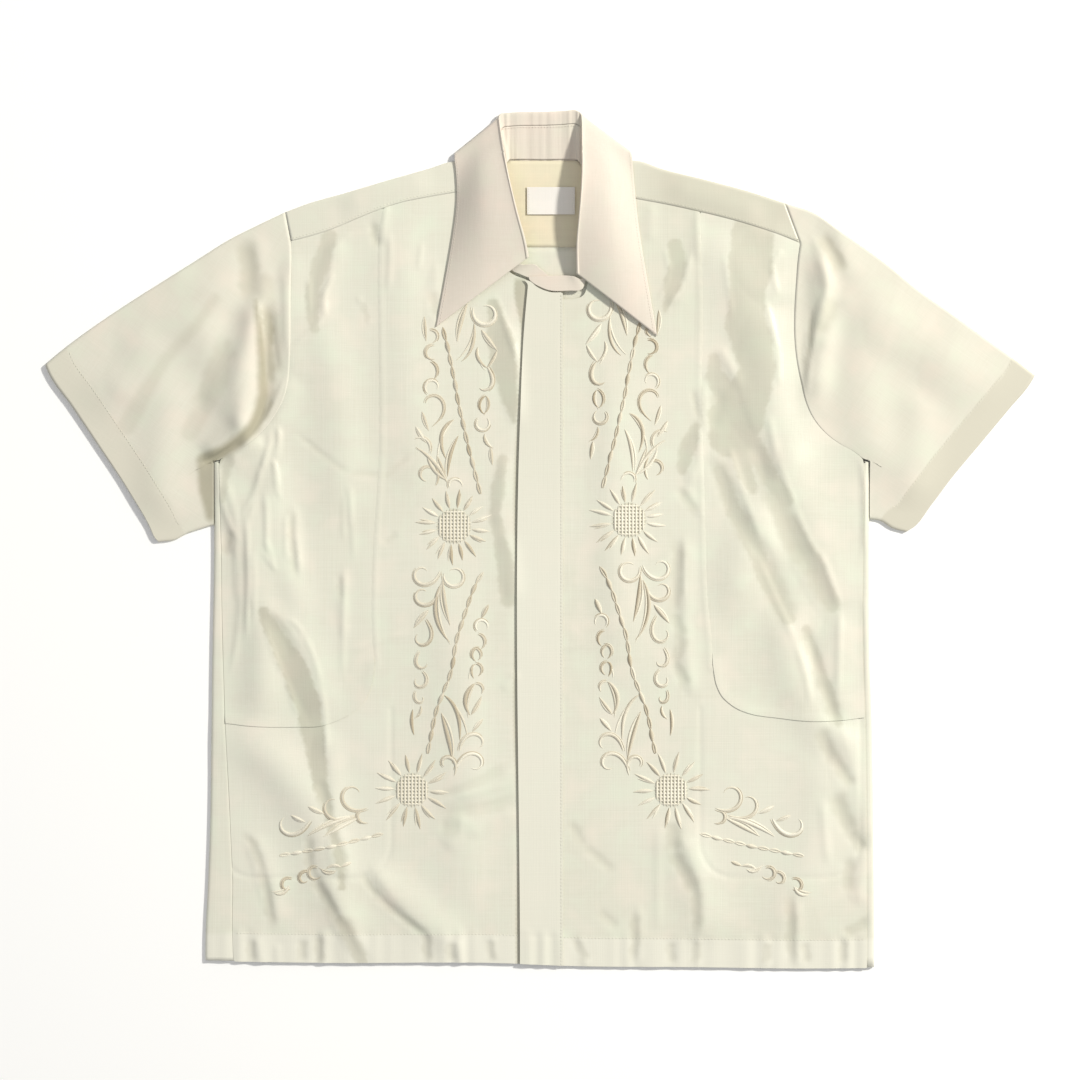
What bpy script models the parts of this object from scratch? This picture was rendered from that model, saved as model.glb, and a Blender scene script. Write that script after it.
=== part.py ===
"""Barong tagalog shirt, laid flat on its back with the collar towards +Y.

Sizes are millimetres until a point goes into a mesh. Left and right are the viewer's, looking down.
The back lies on the table. The fronts lie over it on soft folds that one height field gives, so that
neighbouring pieces meet at the same height at every seam.
"""
import math

import bmesh
import bpy
import numpy as np
from mathutils import Vector

MM = 0.001

# Cloth and layers
CLOTH = 1.0
SEAM = 0.35
YOKE_SEAM = 1.0
SIDE_GAP = 0.8
FRONT_BASE = 2.6
POUCH_BASE = 1.3
FOLD_ROUND = 2.6
LEAF_LIFT = 1.3

# Overall lay-out
BACK_SEAM_Y = 257.0
UNDERARM_Y = 68.6
SLEEVE_FOOT_LEFT = (-288.4, 12.3)
SLEEVE_FOOT_RIGHT = (291.0, 17.6)
NECK_LEFT_X, NECK_RIGHT_X = -30.6, 36.4
NECK_BACK_Y = 333.2
MOUTH_TOP_Y = -111.0

# Placket, pockets and label
PLACKET_RIGHT_X = 20.2
PLACKET_LIFT = 1.8
UNDERLAP_LEFT_X, UNDERLAP_RIGHT_X = 7.5, 9.5
LABEL_SIZE = (42.0, 24.0)
LABEL_AT = (9.7, 297.9)
POUCH_TOP_Y, POUCH_BOTTOM_Y = -150.0, -298.0
POUCH_INNER_X = {"left": -131.0, "right": 141.0}
POUCH_OUTER_X = 282.0
POUCH_CORNER = 30.0

# Finishes: colour, roughness
CREAM = (0.80, 0.77, 0.62)
BEIGE = (0.76, 0.70, 0.60)
PALE = (0.88, 0.83, 0.78)
CLOTH_ROUGH = 0.55

# Edges seen from above, one (x, y) for each point where the line bends
HEM = ((-300, -371.4), (-183, -373.1), (-35, -373.3), (28, -375.8), (134, -376.8), (239, -378.0), (300, -377.5))
SIDE_FOLD = {
    "left": ((-287.2, 70), (-287, -18), (-288.6, -106), (-289.5, -180), (-290.4, -247), (-292.2, -300),
             (-294.6, -353), (-294.6, -380)),
    "right": ((289.8, 70), (289.8, -18), (290.4, -106), (292.2, -159), (293.2, -230), (294, -318),
              (294.2, -380)),
}
SIDE_SEAM_INSET = {
    "left": ((4.8, 70), (7.6, -53), (12.4, -162), (18.5, -257), (22, -300), (25, -372)),
    "right": ((4.8, 70), (6, -53), (6.5, -380)),
}
ARMHOLE = {
    "left": ((-219.1, 262.2), (-218.6, 250), (-218.9, 227), (-219.1, 204), (-219.1, 181), (-219.9, 158),
             (-221.8, 136), (-225.8, 122), (-232.3, 110), (-246.4, 92), (-257.5, 82.5), (-269.3, 76),
             (-282.6, 69.6)),
    "right": ((228.8, 260.5), (227, 248), (225.3, 227), (223.9, 204), (223.6, 181), (225.6, 158),
              (229.4, 138), (233.2, 122), (237.7, 111), (252.6, 92), (263.5, 84), (275.4, 77.4),
              (285.2, 69.6)),
}
YOKE_FRONT = {
    "left": ((-219.1, 262.2), (-202, 266.5), (-184.8, 272), (-163, 281), (-142.6, 289.3), (-123.2, 295.7),
             (-100, 300.6), (-77.4, 304.5), (-38, 311)),
    "right": ((45, 308), (62, 304), (85.4, 299.2), (113, 294), (140.8, 287.8), (163, 282.4), (184.8, 276.3),
              (207, 269), (228.8, 260.5)),
}
SHOULDER = {
    "left": ((-224.4, 287.8), (-205.9, 294.8), (-169, 305.4), (-133.8, 315.9), (-96.8, 326.5),
             (-80.1, 331.8), (-60, 332.8), (-30.6, 333.2)),
    "right": ((36.4, 333.2), (70, 333.0), (88, 332.6), (105.6, 326.5), (147, 315.9), (185.7, 305.4),
              (215.6, 295.7)),
}
POCKET_SEAM = {
    "left": ((-137.3, 294), (-139.4, 285), (-141.2, 275), (-142.3, 262), (-142.6, 245),
             (-142.6, 57), (-147, -10), (-147.6, -86), (-145.6, -111)),
    "right": ((140.8, 288), (143.4, 210), (142.6, 122), (145.2, 34), (147.8, -54), (151.2, -89),
              (152.2, -111)),
}
POCKET_MOUTH = {
    "left": ((-280, -161.6), (-253, -164.6), (-213, -165.4), (-193, -164.6), (-177, -159.3), (-165, -153),
             (-158.4, -147), (-152, -138), (-148.7, -130), (-145.6, -111)),
    "right": ((152.2, -111), (156, -130), (160, -138), (166.3, -144.3), (174, -149.5), (183, -153.1),
              (210, -157.5), (238, -160.2), (267, -159.3), (290, -156.4)),
}
NECKLINE = {
    "left": ((7.5, 222.6), (-11, 228), (-27.2, 235.4), (-35.4, 247.2), (-42.4, 265), (-45, 285), (-43.4, 301),
             (-40.2, 315), (-30.6, 333.2)),
    "right": ((9.5, 210.5), (39, 215.6), (42.8, 228), (50.4, 244), (53.8, 263), (53.8, 285), (51.4, 301),
              (47.2, 315), (36.4, 333.2)),
}
SLEEVE_TOP = {
    "left": ((-224.4, 287.8), (-250, 275.6), (-274.6, 263.1), (-299, 247.6), (-324.7, 231.4), (-358.2, 210.3),
             (-389.8, 189.2), (-419, 167.6), (-435.8, 153.6)),
    "right": ((215.6, 295.7), (242, 286.9), (262, 273), (276.3, 263.1), (305.4, 242), (330.9, 220.9),
              (360.8, 199.8), (389.8, 178.6), (420, 156.6), (435.8, 144.2)),
}
SLEEVE_CUFF = {
    "left": ((-435.8, 153.6), (-432.6, 146.1), (-411.8, 116.2), (-389.8, 83.6), (-361.7, 41.4),
             (-343.2, 9.7), (-339.6, 1.6), (-336, -2.6)),
    "right": ((435.8, 144.2), (431.2, 136.4), (413.6, 115.3), (387.2, 83.6), (360.8, 51.9),
              (345, 30.8), (326.5, 8.8), (321.5, 6.4)),
}
SLEEVE_LOW = {
    "left": ((-288.4, 12.3), (-299.2, 8.8), (-309.8, 5.3), (-322.1, -0.9), (-336, -2.6)),
    "right": ((291, 17.6), (300.1, 15.8), (309.8, 9.7), (321.5, 6.4)),
}
PLACKET_LEFT = ((-10.2, 228), (-14.1, 184), (-17.6, 104), (-17.6, -380))
PLACKET_TOP = ((-14, 228), (-8.8, 226.8), (-2.6, 221.8), (9.7, 217.2), (21, 217.2))

# Folds of the top layer: centre line from (x0, y0) to (x1, y1), how far it bows to its left, half width, height
FOLDS = (
    (-262, 40, -246, -160, 8, 17, 4.2),
    (-238, 78, -210, -70, -6, 15, 3.0),
    (-262, -170, -168, -352, 22, 22, 4.6),
    (-200, 205, -176, 20, 10, 20, 2.4),
    (-118, 285, -104, 40, -8, 24, 2.2),
    (-150, -292, -70, -365, 4, 15, 2.8),
    (-88, -20, -70, -330, 10, 26, 2.4),
    (66, 150, 78, -120, -10, 24, 2.4),
    (150, 270, 210, 60, 14, 24, 3.4),
    (240, 90, 168, -60, -12, 20, 3.4),
    (214, -60, 268, -190, -14, 20, 3.6),
    (120, -250, 150, -350, 4, 20, 2.6),
    (250, -190, 214, -340, 10, 24, 2.8),
    (-246, 214, -258, 84, -9, 12, 5.4),
    (-300, 196, -270, 60, 8, 22, 3.6),
    (-270, 236, -392, 120, 12, 24, 3.4),
    (-322, 140, -332, 20, -6, 20, 3.0),
    (246, 252, 242, 120, 5, 11, 4.6),
    (290, 214, 300, 60, -10, 24, 3.4),
    (262, 250, 396, 132, -12, 26, 3.2),
    (330, 130, 322, 34, 6, 18, 2.6),
    (-172, 292, -96, 314, 3, 14, 1.6),
    (112, 308, 196, 282, 3, 14, 1.6),
)

# The collar's sections, from the middle of the back to a front end, one row each: neck seam, roll, outer
# edge, height of the leaf's middle, and how far the roll's two sides lie below its top.
# An edge height of None lies on the cloth beneath.
SECTION = ("seam_x", "seam_y", "seam_z", "roll_x", "roll_y", "roll_z", "edge_x", "edge_y", "edge_z",
           "middle_z", "outer_drop", "inner_drop")
COLLAR_BACK = (2.6, 334.2, 1.8, 2.6, 375.6, 2.1, 2.6, 323.0, 0.5, 0.5, 1.6, -1.1)
COLLAR = {
    "left": (
        (-15.8, 334.4, 1.8, -17.6, 375.4, 2.1, -22.0, 323.0, 0.5, 0.5, 1.6, -1.1),
        (-25.6, 334.2, 2.0, -30.5, 374.4, 2.9, -50.0, 323.0, 0.5, 0.5, 2.2, -0.9),
        (-27.4, 333.8, 2.6, -34.5, 373.6, 3.9, -66.0, 327.0, 0.5, 0.6, 2.6, -0.5),
        (-29.0, 331.4, 4.6, -36.0, 371.6, 5.1, -72.0, 335.2, 0.9, 1.6, 1.9, 0.3),
        (-31.4, 327.6, 4.6, -36.0, 369.9, 6.0, -74.6, 339.2, 2.9, 3.6, 1.4, 0.7),
        (-33.8, 323.8, 4.6, -35.8, 367.6, 7.2, -75.2, 334.4, 4.7, 6.0, 1.3, 1.1),
        (-37.4, 315.9, 4.6, -35.2, 361.0, 9.6, -73.8, 321.0, None, 8.8, 1.2, 1.5),
        (-40.8, 301.0, 4.6, -32.4, 342.3, 15.0, -73.0, 301.0, None, 13.4, 1.2, 2.0),
        (-42.5, 285.1, 4.6, -27.5, 315.9, 19.0, -74.8, 280.7, None, 15.6, 1.1, 2.3),
        (-39.9, 264.9, 4.6, -21.0, 287.8, 18.6, -79.2, 252.6, None, 14.6, 1.1, 2.3),
        (-33.0, 247.6, 4.6, -14.1, 262.2, 14.6, -85.4, 219.1, None, 11.4, 1.1, 2.0),
        (-25.4, 237.1, 4.6, -11.4, 246.6, 10.4, -91.5, 186.6, None, 8.6, 1.1, 1.6),
    ),
    "right": (
        (19.4, 334.4, 1.8, 17.6, 376.2, 2.1, 26.0, 323.0, 0.5, 0.5, 1.6, -1.1),
        (30.4, 334.2, 2.0, 29.0, 377.0, 2.9, 54.0, 323.0, 0.5, 0.5, 2.2, -0.9),
        (33.2, 333.8, 2.6, 33.0, 376.2, 3.9, 70.0, 327.0, 0.5, 0.6, 2.6, -0.5),
        (34.8, 331.4, 4.6, 35.4, 374.6, 5.1, 75.6, 337.0, 0.9, 1.6, 1.9, 0.3),
        (37.4, 327.6, 4.6, 36.2, 373.0, 6.0, 78.2, 341.8, 2.9, 3.6, 1.4, 0.7),
        (39.8, 323.8, 4.6, 36.6, 370.8, 7.2, 80.6, 336.8, 4.7, 6.0, 1.3, 1.1),
        (44.2, 315.9, 4.6, 37.0, 364.0, 9.6, 82.0, 323.0, None, 8.8, 1.2, 1.5),
        (48.7, 301.0, 4.6, 37.2, 342.3, 15.0, 83.6, 303.0, None, 13.4, 1.2, 2.0),
        (51.3, 285.1, 4.6, 37.0, 315.9, 19.0, 86.2, 279.0, None, 15.6, 1.1, 2.3),
        (51.3, 263.1, 4.6, 35.2, 287.8, 18.6, 89.8, 254.3, None, 14.6, 1.1, 2.3),
        (48.0, 244.4, 4.6, 33.0, 258.7, 14.0, 95.9, 219.1, None, 11.2, 1.1, 2.0),
        (40.6, 228.4, 4.6, 33.4, 232.4, 8.6, 103.0, 178.6, None, 7.6, 1.1, 1.6),
    ),
}
# The band's ends past the leaf: seam x, y, z, then top edge x, y, z
BAND_END = {
    "left": ((-18.0, 233.2, 4.3, -5.0, 241.6, 5.2), (-9.6, 229.9, 3.3, 0.0, 238.0, 3.6),
             (7.9, 224.1, 3.1, 8.4, 231.0, 3.1)),
    "right": ((36.4, 219.4, 5.0, 29.6, 231.0, 6.2), (25.5, 218.4, 4.9, 22.0, 231.8, 5.0),
              (9.7, 218.4, 4.9, 9.0, 231.4, 5.0), (-2.4, 223.0, 4.9, -3.0, 231.0, 5.0),
              (-9.2, 227.8, 4.9, -10.4, 230.6, 5.0)),
}
ROLL_SIDE = 3.0
ROLL_LIP = 9.0
BAND_GAP = 1.6
LEAF_EDGE_GAP = 0.55


def smooth(t):
    """0 below 0, 1 above 1, and a soft ramp between."""
    t = np.clip(t, 0.0, 1.0)
    return t * t * (3 - 2 * t)


def x_at(line, y):
    """x of an edge at height y, for an edge that runs up or down."""
    pts = sorted(line, key=lambda p: p[1])
    return float(np.interp(y, [p[1] for p in pts], [p[0] for p in pts]))


def y_at(line, x):
    """y of an edge at x, for an edge that runs across."""
    pts = sorted(line)
    return float(np.interp(x, [p[0] for p in pts], [p[1] for p in pts]))


def along(line, t):
    """The point a share t of the way down a line, by length."""
    pts = np.array(line, float)
    run = np.concatenate([[0], np.cumsum(np.hypot(*np.diff(pts, axis=0).T))])
    return np.array([np.interp(t * run[-1], run, pts[:, k]) for k in range(2)])


def shares(line):
    """How far along a line each of its points lies, from 0 to 1."""
    pts = np.array(line, float)
    run = np.concatenate([[0], np.cumsum(np.hypot(*np.diff(pts, axis=0).T))])
    return run / run[-1]


def rise(x, y):
    """How far the folds lift the top layer at a point."""
    total = 0.0
    for x0, y0, x1, y1, bow, half_width, height in FOLDS:
        dx, dy = x1 - x0, y1 - y0
        length = math.hypot(dx, dy)
        t = ((x - x0) * dx + (y - y0) * dy) / length ** 2
        side = ((x - x0) * -dy + (y - y0) * dx) / length - 4 * bow * t * (1 - t)
        ends = smooth((t + 0.12) / 0.3) * smooth((1.12 - t) / 0.3)
        total += height * ends * math.exp(-(side / half_width) ** 2)
    centre = smooth((abs(x - 2) - 24) / 40)
    collar = smooth((math.hypot((x - 5) / 1.25, y - 268) - 70) / 40)
    return total * centre * collar


def top_layer(x, y):
    """Middle height of the top layer of cloth."""
    return FRONT_BASE + CLOTH / 2 + rise(x, y)


def leaf_room(x, y):
    """How far the back of the yoke is lifted by the leaf under it."""
    return LEAF_LIFT * smooth((y - 296) / 22) * smooth((84 - abs(x - 3)) / 30 + 0.5)


def round_edge(distance, low, high):
    """Heights of both layers near a fold: from their own heights to one shared middle."""
    if distance >= FOLD_ROUND:
        return low, high
    swell = math.sqrt(max(0.0, 1 - (1 - distance / FOLD_ROUND) ** 2))
    middle = (low + high) / 2
    return middle + (low - middle) * swell, middle + (high - middle) * swell


def finish(name, colour):
    material = bpy.data.materials.new(name)
    material.use_nodes = True
    shader = material.node_tree.nodes["Principled BSDF"]
    shader.inputs["Base Color"].default_value = (*colour, 1)
    shader.inputs["Roughness"].default_value = CLOTH_ROUGH
    return material


def sheet(name, us, vs, place, colour=CREAM, keep=None, closed=False, even=True):
    """A piece of cloth: a grid over the stations us and vs, each point put at place(u, v), given its wall."""
    form = bmesh.new()
    bmesh.ops.create_grid(form, x_segments=len(us) - 1, y_segments=len(vs) - 1, size=0.5)
    index = {vert: (round((vert.co.x + 0.5) * (len(us) - 1)), round((vert.co.y + 0.5) * (len(vs) - 1)))
             for vert in form.verts}
    if keep:
        cut = []
        for face in form.faces:
            i = min(index[vert][0] for vert in face.verts)
            j = min(index[vert][1] for vert in face.verts)
            if not keep(i, j):
                cut.append(face)
        bmesh.ops.delete(form, geom=cut, context="FACES")
    for vert in form.verts:
        i, j = index[vert]
        vert.co = Vector(place(us[i], vs[j])) * MM
    if closed:
        bmesh.ops.remove_doubles(form, verts=form.verts, dist=0.00002)
    mesh = bpy.data.meshes.new(name)
    form.to_mesh(mesh)
    form.free()
    mesh.shade_smooth()
    mesh.materials.append(finish(name, colour))
    piece = bpy.data.objects.new(name, mesh)
    shirt.objects.link(piece)
    solid = piece.modifiers.new("wall", "SOLIDIFY")
    solid.thickness = CLOTH * MM
    solid.offset = 0
    solid.use_even_offset = even


def fold_x(side, y):
    return x_at(SIDE_FOLD[side], y)


def seam_x(side, y):
    inset = x_at(SIDE_SEAM_INSET[side], y)
    return fold_x(side, y) + (inset if side == "left" else -inset)


def body_side(side, y):
    """Outer edge of a front at height y: the side seam, then the armhole."""
    return x_at(ARMHOLE[side], y) if y > UNDERARM_Y else seam_x(side, y)


def sign(side):
    return -1 if side == "left" else 1


def back():
    """The back, flat on the table, with its sides folded up round to the front side seams."""
    heights = [-372, -330, -300, -257, -210, -162, -106, -53, 10, 66, 69.8, 76.5, 84, 92, 110, 123, 137, 158,
               181, 204, 227, 249, BACK_SEAM_Y]
    arc = [0, 45, 90, 135, 180]
    wrap = [("top", 1.0), ("top", 0.5)] + [("arc", a) for a in reversed(arc)]
    flat = [0.15, 0.5, 0.85]
    stations = [("left",) + w for w in wrap] + [("flat", "", f) for f in flat]
    stations += [("right",) + w for w in reversed(wrap)]

    def side_point(side, kind, amount, y):
        s = sign(side)
        edge = fold_x(side, y) - s * CLOTH / 2
        order = 1 - amount if kind == "top" else 1 + (180 - amount) / 45
        if y > UNDERARM_Y:
            inward = SEAM + order * 0.7
            return x_at(ARMHOLE[side], y) - s * inward, CLOTH / 2
        turn = smooth((UNDERARM_Y - y) / 30)
        high = top_layer(edge - s * FOLD_ROUND, y)
        middle = (high + CLOTH / 2) / 2
        if kind == "arc":
            angle = math.radians(amount - 90)
            x = edge - s * (FOLD_ROUND - FOLD_ROUND * math.cos(angle))
            return x, middle + (high - middle) * math.sin(angle)
        last = seam_x(side, y) + s * SIDE_GAP
        start = edge - s * FOLD_ROUND
        room = abs(start - last) * turn
        x = start - s * max(room, 0.6) * amount
        return x, top_layer(x, y)

    def place(u, v):
        y = heights[v]
        kind = stations[u]
        if kind[0] != "flat":
            x, z = side_point(kind[0], kind[1], kind[2], y)
        else:
            left = side_point("left", "arc", 0, y)[0]
            right = side_point("right", "arc", 0, y)[0]
            x, z = left + (right - left) * kind[2], CLOTH / 2
        if v == 0:
            y = y_at(HEM, x) + 0.6
        return x, y, z

    sheet("back", range(len(stations)), range(len(heights)), place, even=False)


def yoke():
    """The yoke: its back half on the table, folded at the shoulders, with a notch for the neck."""
    half = 10
    across = [("left", t) for t in np.linspace(0, 1, half + 1)]
    across += [("neck", t) for t in (0.04, 0.28, 0.5, 0.72, 0.96)]
    across += [("right", t) for t in np.linspace(0, 1, half + 1)]
    front_rows = [0.0, 0.3, 0.65]
    arc = [135, 90, 45]
    back_rows = [0.0, 0.15, 0.3, 0.55, 1.0]
    rows = [("front", t) for t in front_rows] + [("front", 1.0)] + [("arc", a) for a in arc]
    rows += [("back", t) for t in back_rows]

    def place(u, v):
        side, t = across[u]
        kind, amount = rows[v]
        if side == "neck":
            fold = (NECK_LEFT_X + (NECK_RIGHT_X - NECK_LEFT_X) * t, NECK_BACK_Y)
            front = fold
            foot_x = fold[0]
        else:
            ends = SHOULDER[side]
            start, end = ends[0][0], ends[-1][0]
            x = start + (end - start) * t
            x += SIDE_GAP * (1 - t) if side == "left" else -SIDE_GAP * t
            fold = (x, y_at(SHOULDER[side], x))
            seam = YOKE_FRONT[side]
            fx = seam[0][0] + (seam[-1][0] - seam[0][0]) * t
            fx -= sign(side) * SIDE_GAP * (1 - t if side == "left" else t)
            front = (fx, y_at(seam, fx) + YOKE_SEAM)
            outer = x_at(ARMHOLE[side], BACK_SEAM_Y) - sign(side) * SIDE_GAP
            share = t if side == "left" else 1 - t
            inner = NECK_LEFT_X if side == "left" else NECK_RIGHT_X
            foot_x = outer + (inner - outer) * share
        edge_y = fold[1] - CLOTH / 2
        inner_y = NECK_BACK_Y if side == "neck" else edge_y - FOLD_ROUND
        low = CLOTH / 2 + leaf_room(fold[0], fold[1])
        high = top_layer(fold[0], inner_y)
        middle = (low + high) / 2
        if kind == "front":
            x = front[0] + (fold[0] - front[0]) * amount
            y = front[1] + (inner_y - front[1]) * amount
            if side != "neck":
                limit = x_at(NECKLINE[side], y)
                if (side == "left" and x > limit) or (side == "right" and x < limit):
                    x = limit
            return x, y, top_layer(x, y)
        if kind == "arc":
            angle = math.radians(amount - 90)
            y = inner_y + FOLD_ROUND * math.cos(angle)
            return fold[0], y, middle + (high - middle) * math.sin(angle)
        y = inner_y + (BACK_SEAM_Y + YOKE_SEAM - inner_y) * amount
        x = fold[0] + (foot_x - fold[0]) * amount
        return x, y, CLOTH / 2 + leaf_room(x, y)

    first_neck = half
    last_neck = half + 6
    first_back = len(front_rows) + 1 + len(arc)

    def keep(i, j):
        return not (first_neck <= i < last_neck and j < first_back)

    sheet("yoke", range(len(across)), range(len(rows)), place, keep=keep)


def head(side, f, outer, inner):
    """Where a panel meets the yoke, a share f of the way from its outer edge to its inner edge."""
    y = YOKE_FRONT[side][4][1]
    for _ in range(8):
        x = outer(y) + (inner(y) - outer(y)) * f
        y = y_at(YOKE_FRONT[side], x)
    return y


def front(side):
    """A front: the embroidery panel up to the yoke, and the part under the pocket mouth out to the side."""
    mouth = POCKET_MOUTH[side]
    mouth_x = [p[0] for p in (mouth if side == "left" else mouth[::-1])]
    edge_cells = len(mouth_x) - 1
    inner_cells = 9
    low_rows = [k / 7 for k in range(8)]
    panel_levels = [MOUTH_TOP_Y, -86, -60, -35, -10, 12, 35, 57, 90, 120, 150, 175, 195]
    outer_levels = panel_levels + [212, 225, 238, 250, 262, 272, 283]
    inner_levels = panel_levels + [p[1] for p in NECKLINE[side][:7]]
    underlap = UNDERLAP_LEFT_X if side == "left" else UNDERLAP_RIGHT_X
    foot_x = POCKET_SEAM[side][-1][0]

    def inner_x(y):
        return x_at(NECKLINE[side], y) if y > NECKLINE[side][0][1] else underlap

    def place(u, v):
        if u < edge_cells:
            x = mouth_x[u]
            top = y_at(mouth, x)
            t = low_rows[min(v, len(low_rows) - 1)]
            y = y_at(HEM, x) + (top - y_at(HEM, x)) * t
            x += (seam_x(side, y) - mouth_x[0]) * (1 - u / edge_cells)
            return x, y, top_layer(x, y)
        f = (u - edge_cells) / inner_cells
        if v < len(low_rows):
            x = foot_x + (underlap - foot_x) * f
            y = y_at(HEM, x) + (MOUTH_TOP_Y - y_at(HEM, x)) * low_rows[v]
            return x, y, top_layer(x, y)
        level = v - len(low_rows) + 1
        if level < len(outer_levels):
            y = outer_levels[level] + (inner_levels[level] - outer_levels[level]) * f
        else:
            y = head(side, f, lambda y: x_at(POCKET_SEAM[side], y), inner_x)
        outer = x_at(POCKET_SEAM[side], y)
        x = outer + (inner_x(y) - outer) * f
        return x, y, top_layer(x, y)

    def keep(i, j):
        return i >= edge_cells or j < len(low_rows) - 1

    columns = edge_cells + inner_cells + 1
    rows = len(low_rows) + len(outer_levels)
    sheet("front_" + side, range(columns), range(rows), place, keep=keep)


def side_panel(side):
    """The upper side panel, from the yoke to the pocket mouth."""
    s = sign(side)
    mouth = POCKET_MOUTH[side]
    mouth_x = [p[0] for p in (mouth if side == "left" else mouth[::-1])]
    cells = len(mouth_x) - 1
    foot_y = y_at(mouth, mouth_x[0])
    arm_y = sorted(p[1] for p in ARMHOLE[side])
    levels = [foot_y, -140, -111, -86, -60, -35, -10, 12, 35, 57] + arm_y
    head_x = ARMHOLE[side][0][0]

    def place(u, v):
        f = u / cells
        bottom_y = y_at(mouth, mouth_x[u]) + SIDE_GAP
        top_y = head(side, f, lambda y: head_x, lambda y: x_at(POCKET_SEAM[side], y) + s * SIDE_GAP)
        t = (levels[v] - foot_y) / (levels[-1] - foot_y)
        y = bottom_y + (top_y - bottom_y) * t
        if u == cells and v < 3:
            y = bottom_y + (levels[3] - 1 - bottom_y) * v / 3
        elif u == cells:
            y = levels[v] + (top_y - levels[-1]) * smooth((levels[v] - 57) / 200)
        outer = body_side(side, levels[v]) if u == 0 else body_side(side, y)
        inner = x_at(POCKET_SEAM[side], max(y, MOUTH_TOP_Y)) + s * SIDE_GAP
        even = outer + (inner - outer) * f
        near_mouth = 0 if u == cells else 1 - smooth(t / 0.25)
        x = even + (mouth_x[u] + s * SIDE_GAP - even) * near_mouth
        return (outer if u == 0 else x), y, top_layer(x, y)

    sheet("side_" + side, range(cells + 1), range(len(levels)), place)


def placket():
    """The fly band down the front, standing a little proud along its left edge."""
    levels = [-374.6, -330, -290, -250, -210, -170, -130, -90, -50, -10, 30, 70, 110, 150, 184, 208, 0]

    def place(u, v):
        f = u / 4
        level = levels[v]
        x = x_at(PLACKET_LEFT, level)
        x += (PLACKET_RIGHT_X - x) * f
        y = level
        if v == 0:
            y = y_at(HEM, x)
        if v == len(levels) - 1:
            x = x_at(PLACKET_LEFT, 227) + (PLACKET_RIGHT_X - x_at(PLACKET_LEFT, 227)) * f
            y = y_at(PLACKET_TOP, x)
        z = top_layer(x, y) + CLOTH + SEAM + PLACKET_LIFT * (1 - f) ** 1.5
        return x, y, z

    sheet("placket", range(5), range(len(levels)), place)


def pouch(side):
    """A pocket bag, flat between back and front, hung from the pocket mouth."""
    inner = POUCH_INNER_X[side]
    outer = sign(side) * POUCH_OUTER_X

    def place(u, v):
        f, t = u / 6, v / 7
        x = outer + (inner - outer) * f
        foot = POUCH_BOTTOM_Y
        from_side = min(abs(x - inner), POUCH_CORNER) / POUCH_CORNER
        foot += POUCH_CORNER * (1 - math.sqrt(max(0, 1 - (1 - from_side) ** 2)))
        return x, foot + (POUCH_TOP_Y - foot) * t, POUCH_BASE + CLOTH / 2

    sheet("pouch_" + side, range(7), range(8), place)


def sleeve(side):
    """A short sleeve: a flattened tube from the armhole to its turned cuff."""
    s = sign(side)
    foot = SLEEVE_FOOT_LEFT if side == "left" else SLEEVE_FOOT_RIGHT
    head = SLEEVE_TOP[side][0]
    arm = [head] + [(x + s * SIDE_GAP, y) for x, y in ARMHOLE[side][:-1]]
    arm += [(foot[0], UNDERARM_Y + 5), (foot[0], 50.0), (foot[0], 30.0), foot]
    arm_at = list(shares(arm))
    rings = [0.0, 0.07, 0.16, 0.28, 0.41, 0.55, 0.69, 0.82, 0.92, 1.0]
    under_at = [arm_at[k] for k in range(len(arm_at) - 1, -1, -1)]
    ring = [("top", t) for t in arm_at[1:-1]] + [("low_fold", 0)]
    ring += [("under", t) for t in under_at[1:-1]] + [("high_fold", 0), ("top", arm_at[1])]

    corners = [np.array(head), np.array(SLEEVE_TOP[side][-1]), np.array(foot), np.array(SLEEVE_LOW[side][-1])]

    def plan(t, v):
        """A point of the sleeve's plan: t across from the shoulder fold, v out from the armhole."""
        a, c = along(arm, t), along(SLEEVE_CUFF[side], t)
        top, low = along(SLEEVE_TOP[side], v), along(SLEEVE_LOW[side], v)
        mixed = (1 - t) * ((1 - v) * corners[0] + v * corners[1]) + t * ((1 - v) * corners[2] + v * corners[3])
        return (1 - v) * a + v * c + (1 - t) * top + t * low - mixed

    def place(u, v):
        kind, t = ring[u]
        out = rings[v]
        if kind == "low_fold":
            t = 1.0
        if kind == "high_fold":
            t = 0.0
        x, y = plan(t, out)
        middle = (top_layer(x, y) + CLOTH / 2) / 2
        if kind in ("low_fold", "high_fold"):
            toward = plan(0.5, out) - (x, y)
            toward = toward / np.linalg.norm(toward)
            x, y = (x, y) + toward * CLOTH / 2
            return x, y, middle
        edge = min(np.linalg.norm(plan(t, out) - plan(1.0, out)), np.linalg.norm(plan(t, out) - plan(0.0, out)))
        low, high = round_edge(edge, CLOTH / 2, top_layer(x, y))
        return x, y, high if kind == "top" else low

    sheet("sleeve_" + side, range(len(ring)), range(len(rings)), place, closed=True, even=False)


def collar_rows():
    """The collar's sections from the left front end round the back to the right front end."""
    rows = list(reversed(COLLAR["left"])) + [COLLAR_BACK] + list(COLLAR["right"])
    out = []
    for row in rows:
        part = dict(zip(SECTION, row))
        if part["edge_z"] is None:
            part["edge_z"] = top_layer(part["edge_x"], part["edge_y"]) + CLOTH + LEAF_EDGE_GAP
        out.append(part)
    return out


def catmull(points, t):
    """A smooth curve through points, t from 0 to their count less one."""
    k = min(int(t), len(points) - 2)
    f = t - k
    p0 = points[max(k - 1, 0)]
    p1, p2 = points[k], points[k + 1]
    p3 = points[min(k + 2, len(points) - 1)]
    return 0.5 * (2 * p1 + (p2 - p0) * f + (2 * p0 - 5 * p1 + 4 * p2 - p3) * f ** 2
                  + (3 * p1 - p0 - 3 * p2 + p3) * f ** 3)


def unit(vector):
    return vector / max(np.linalg.norm(vector), 1e-9)


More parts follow.
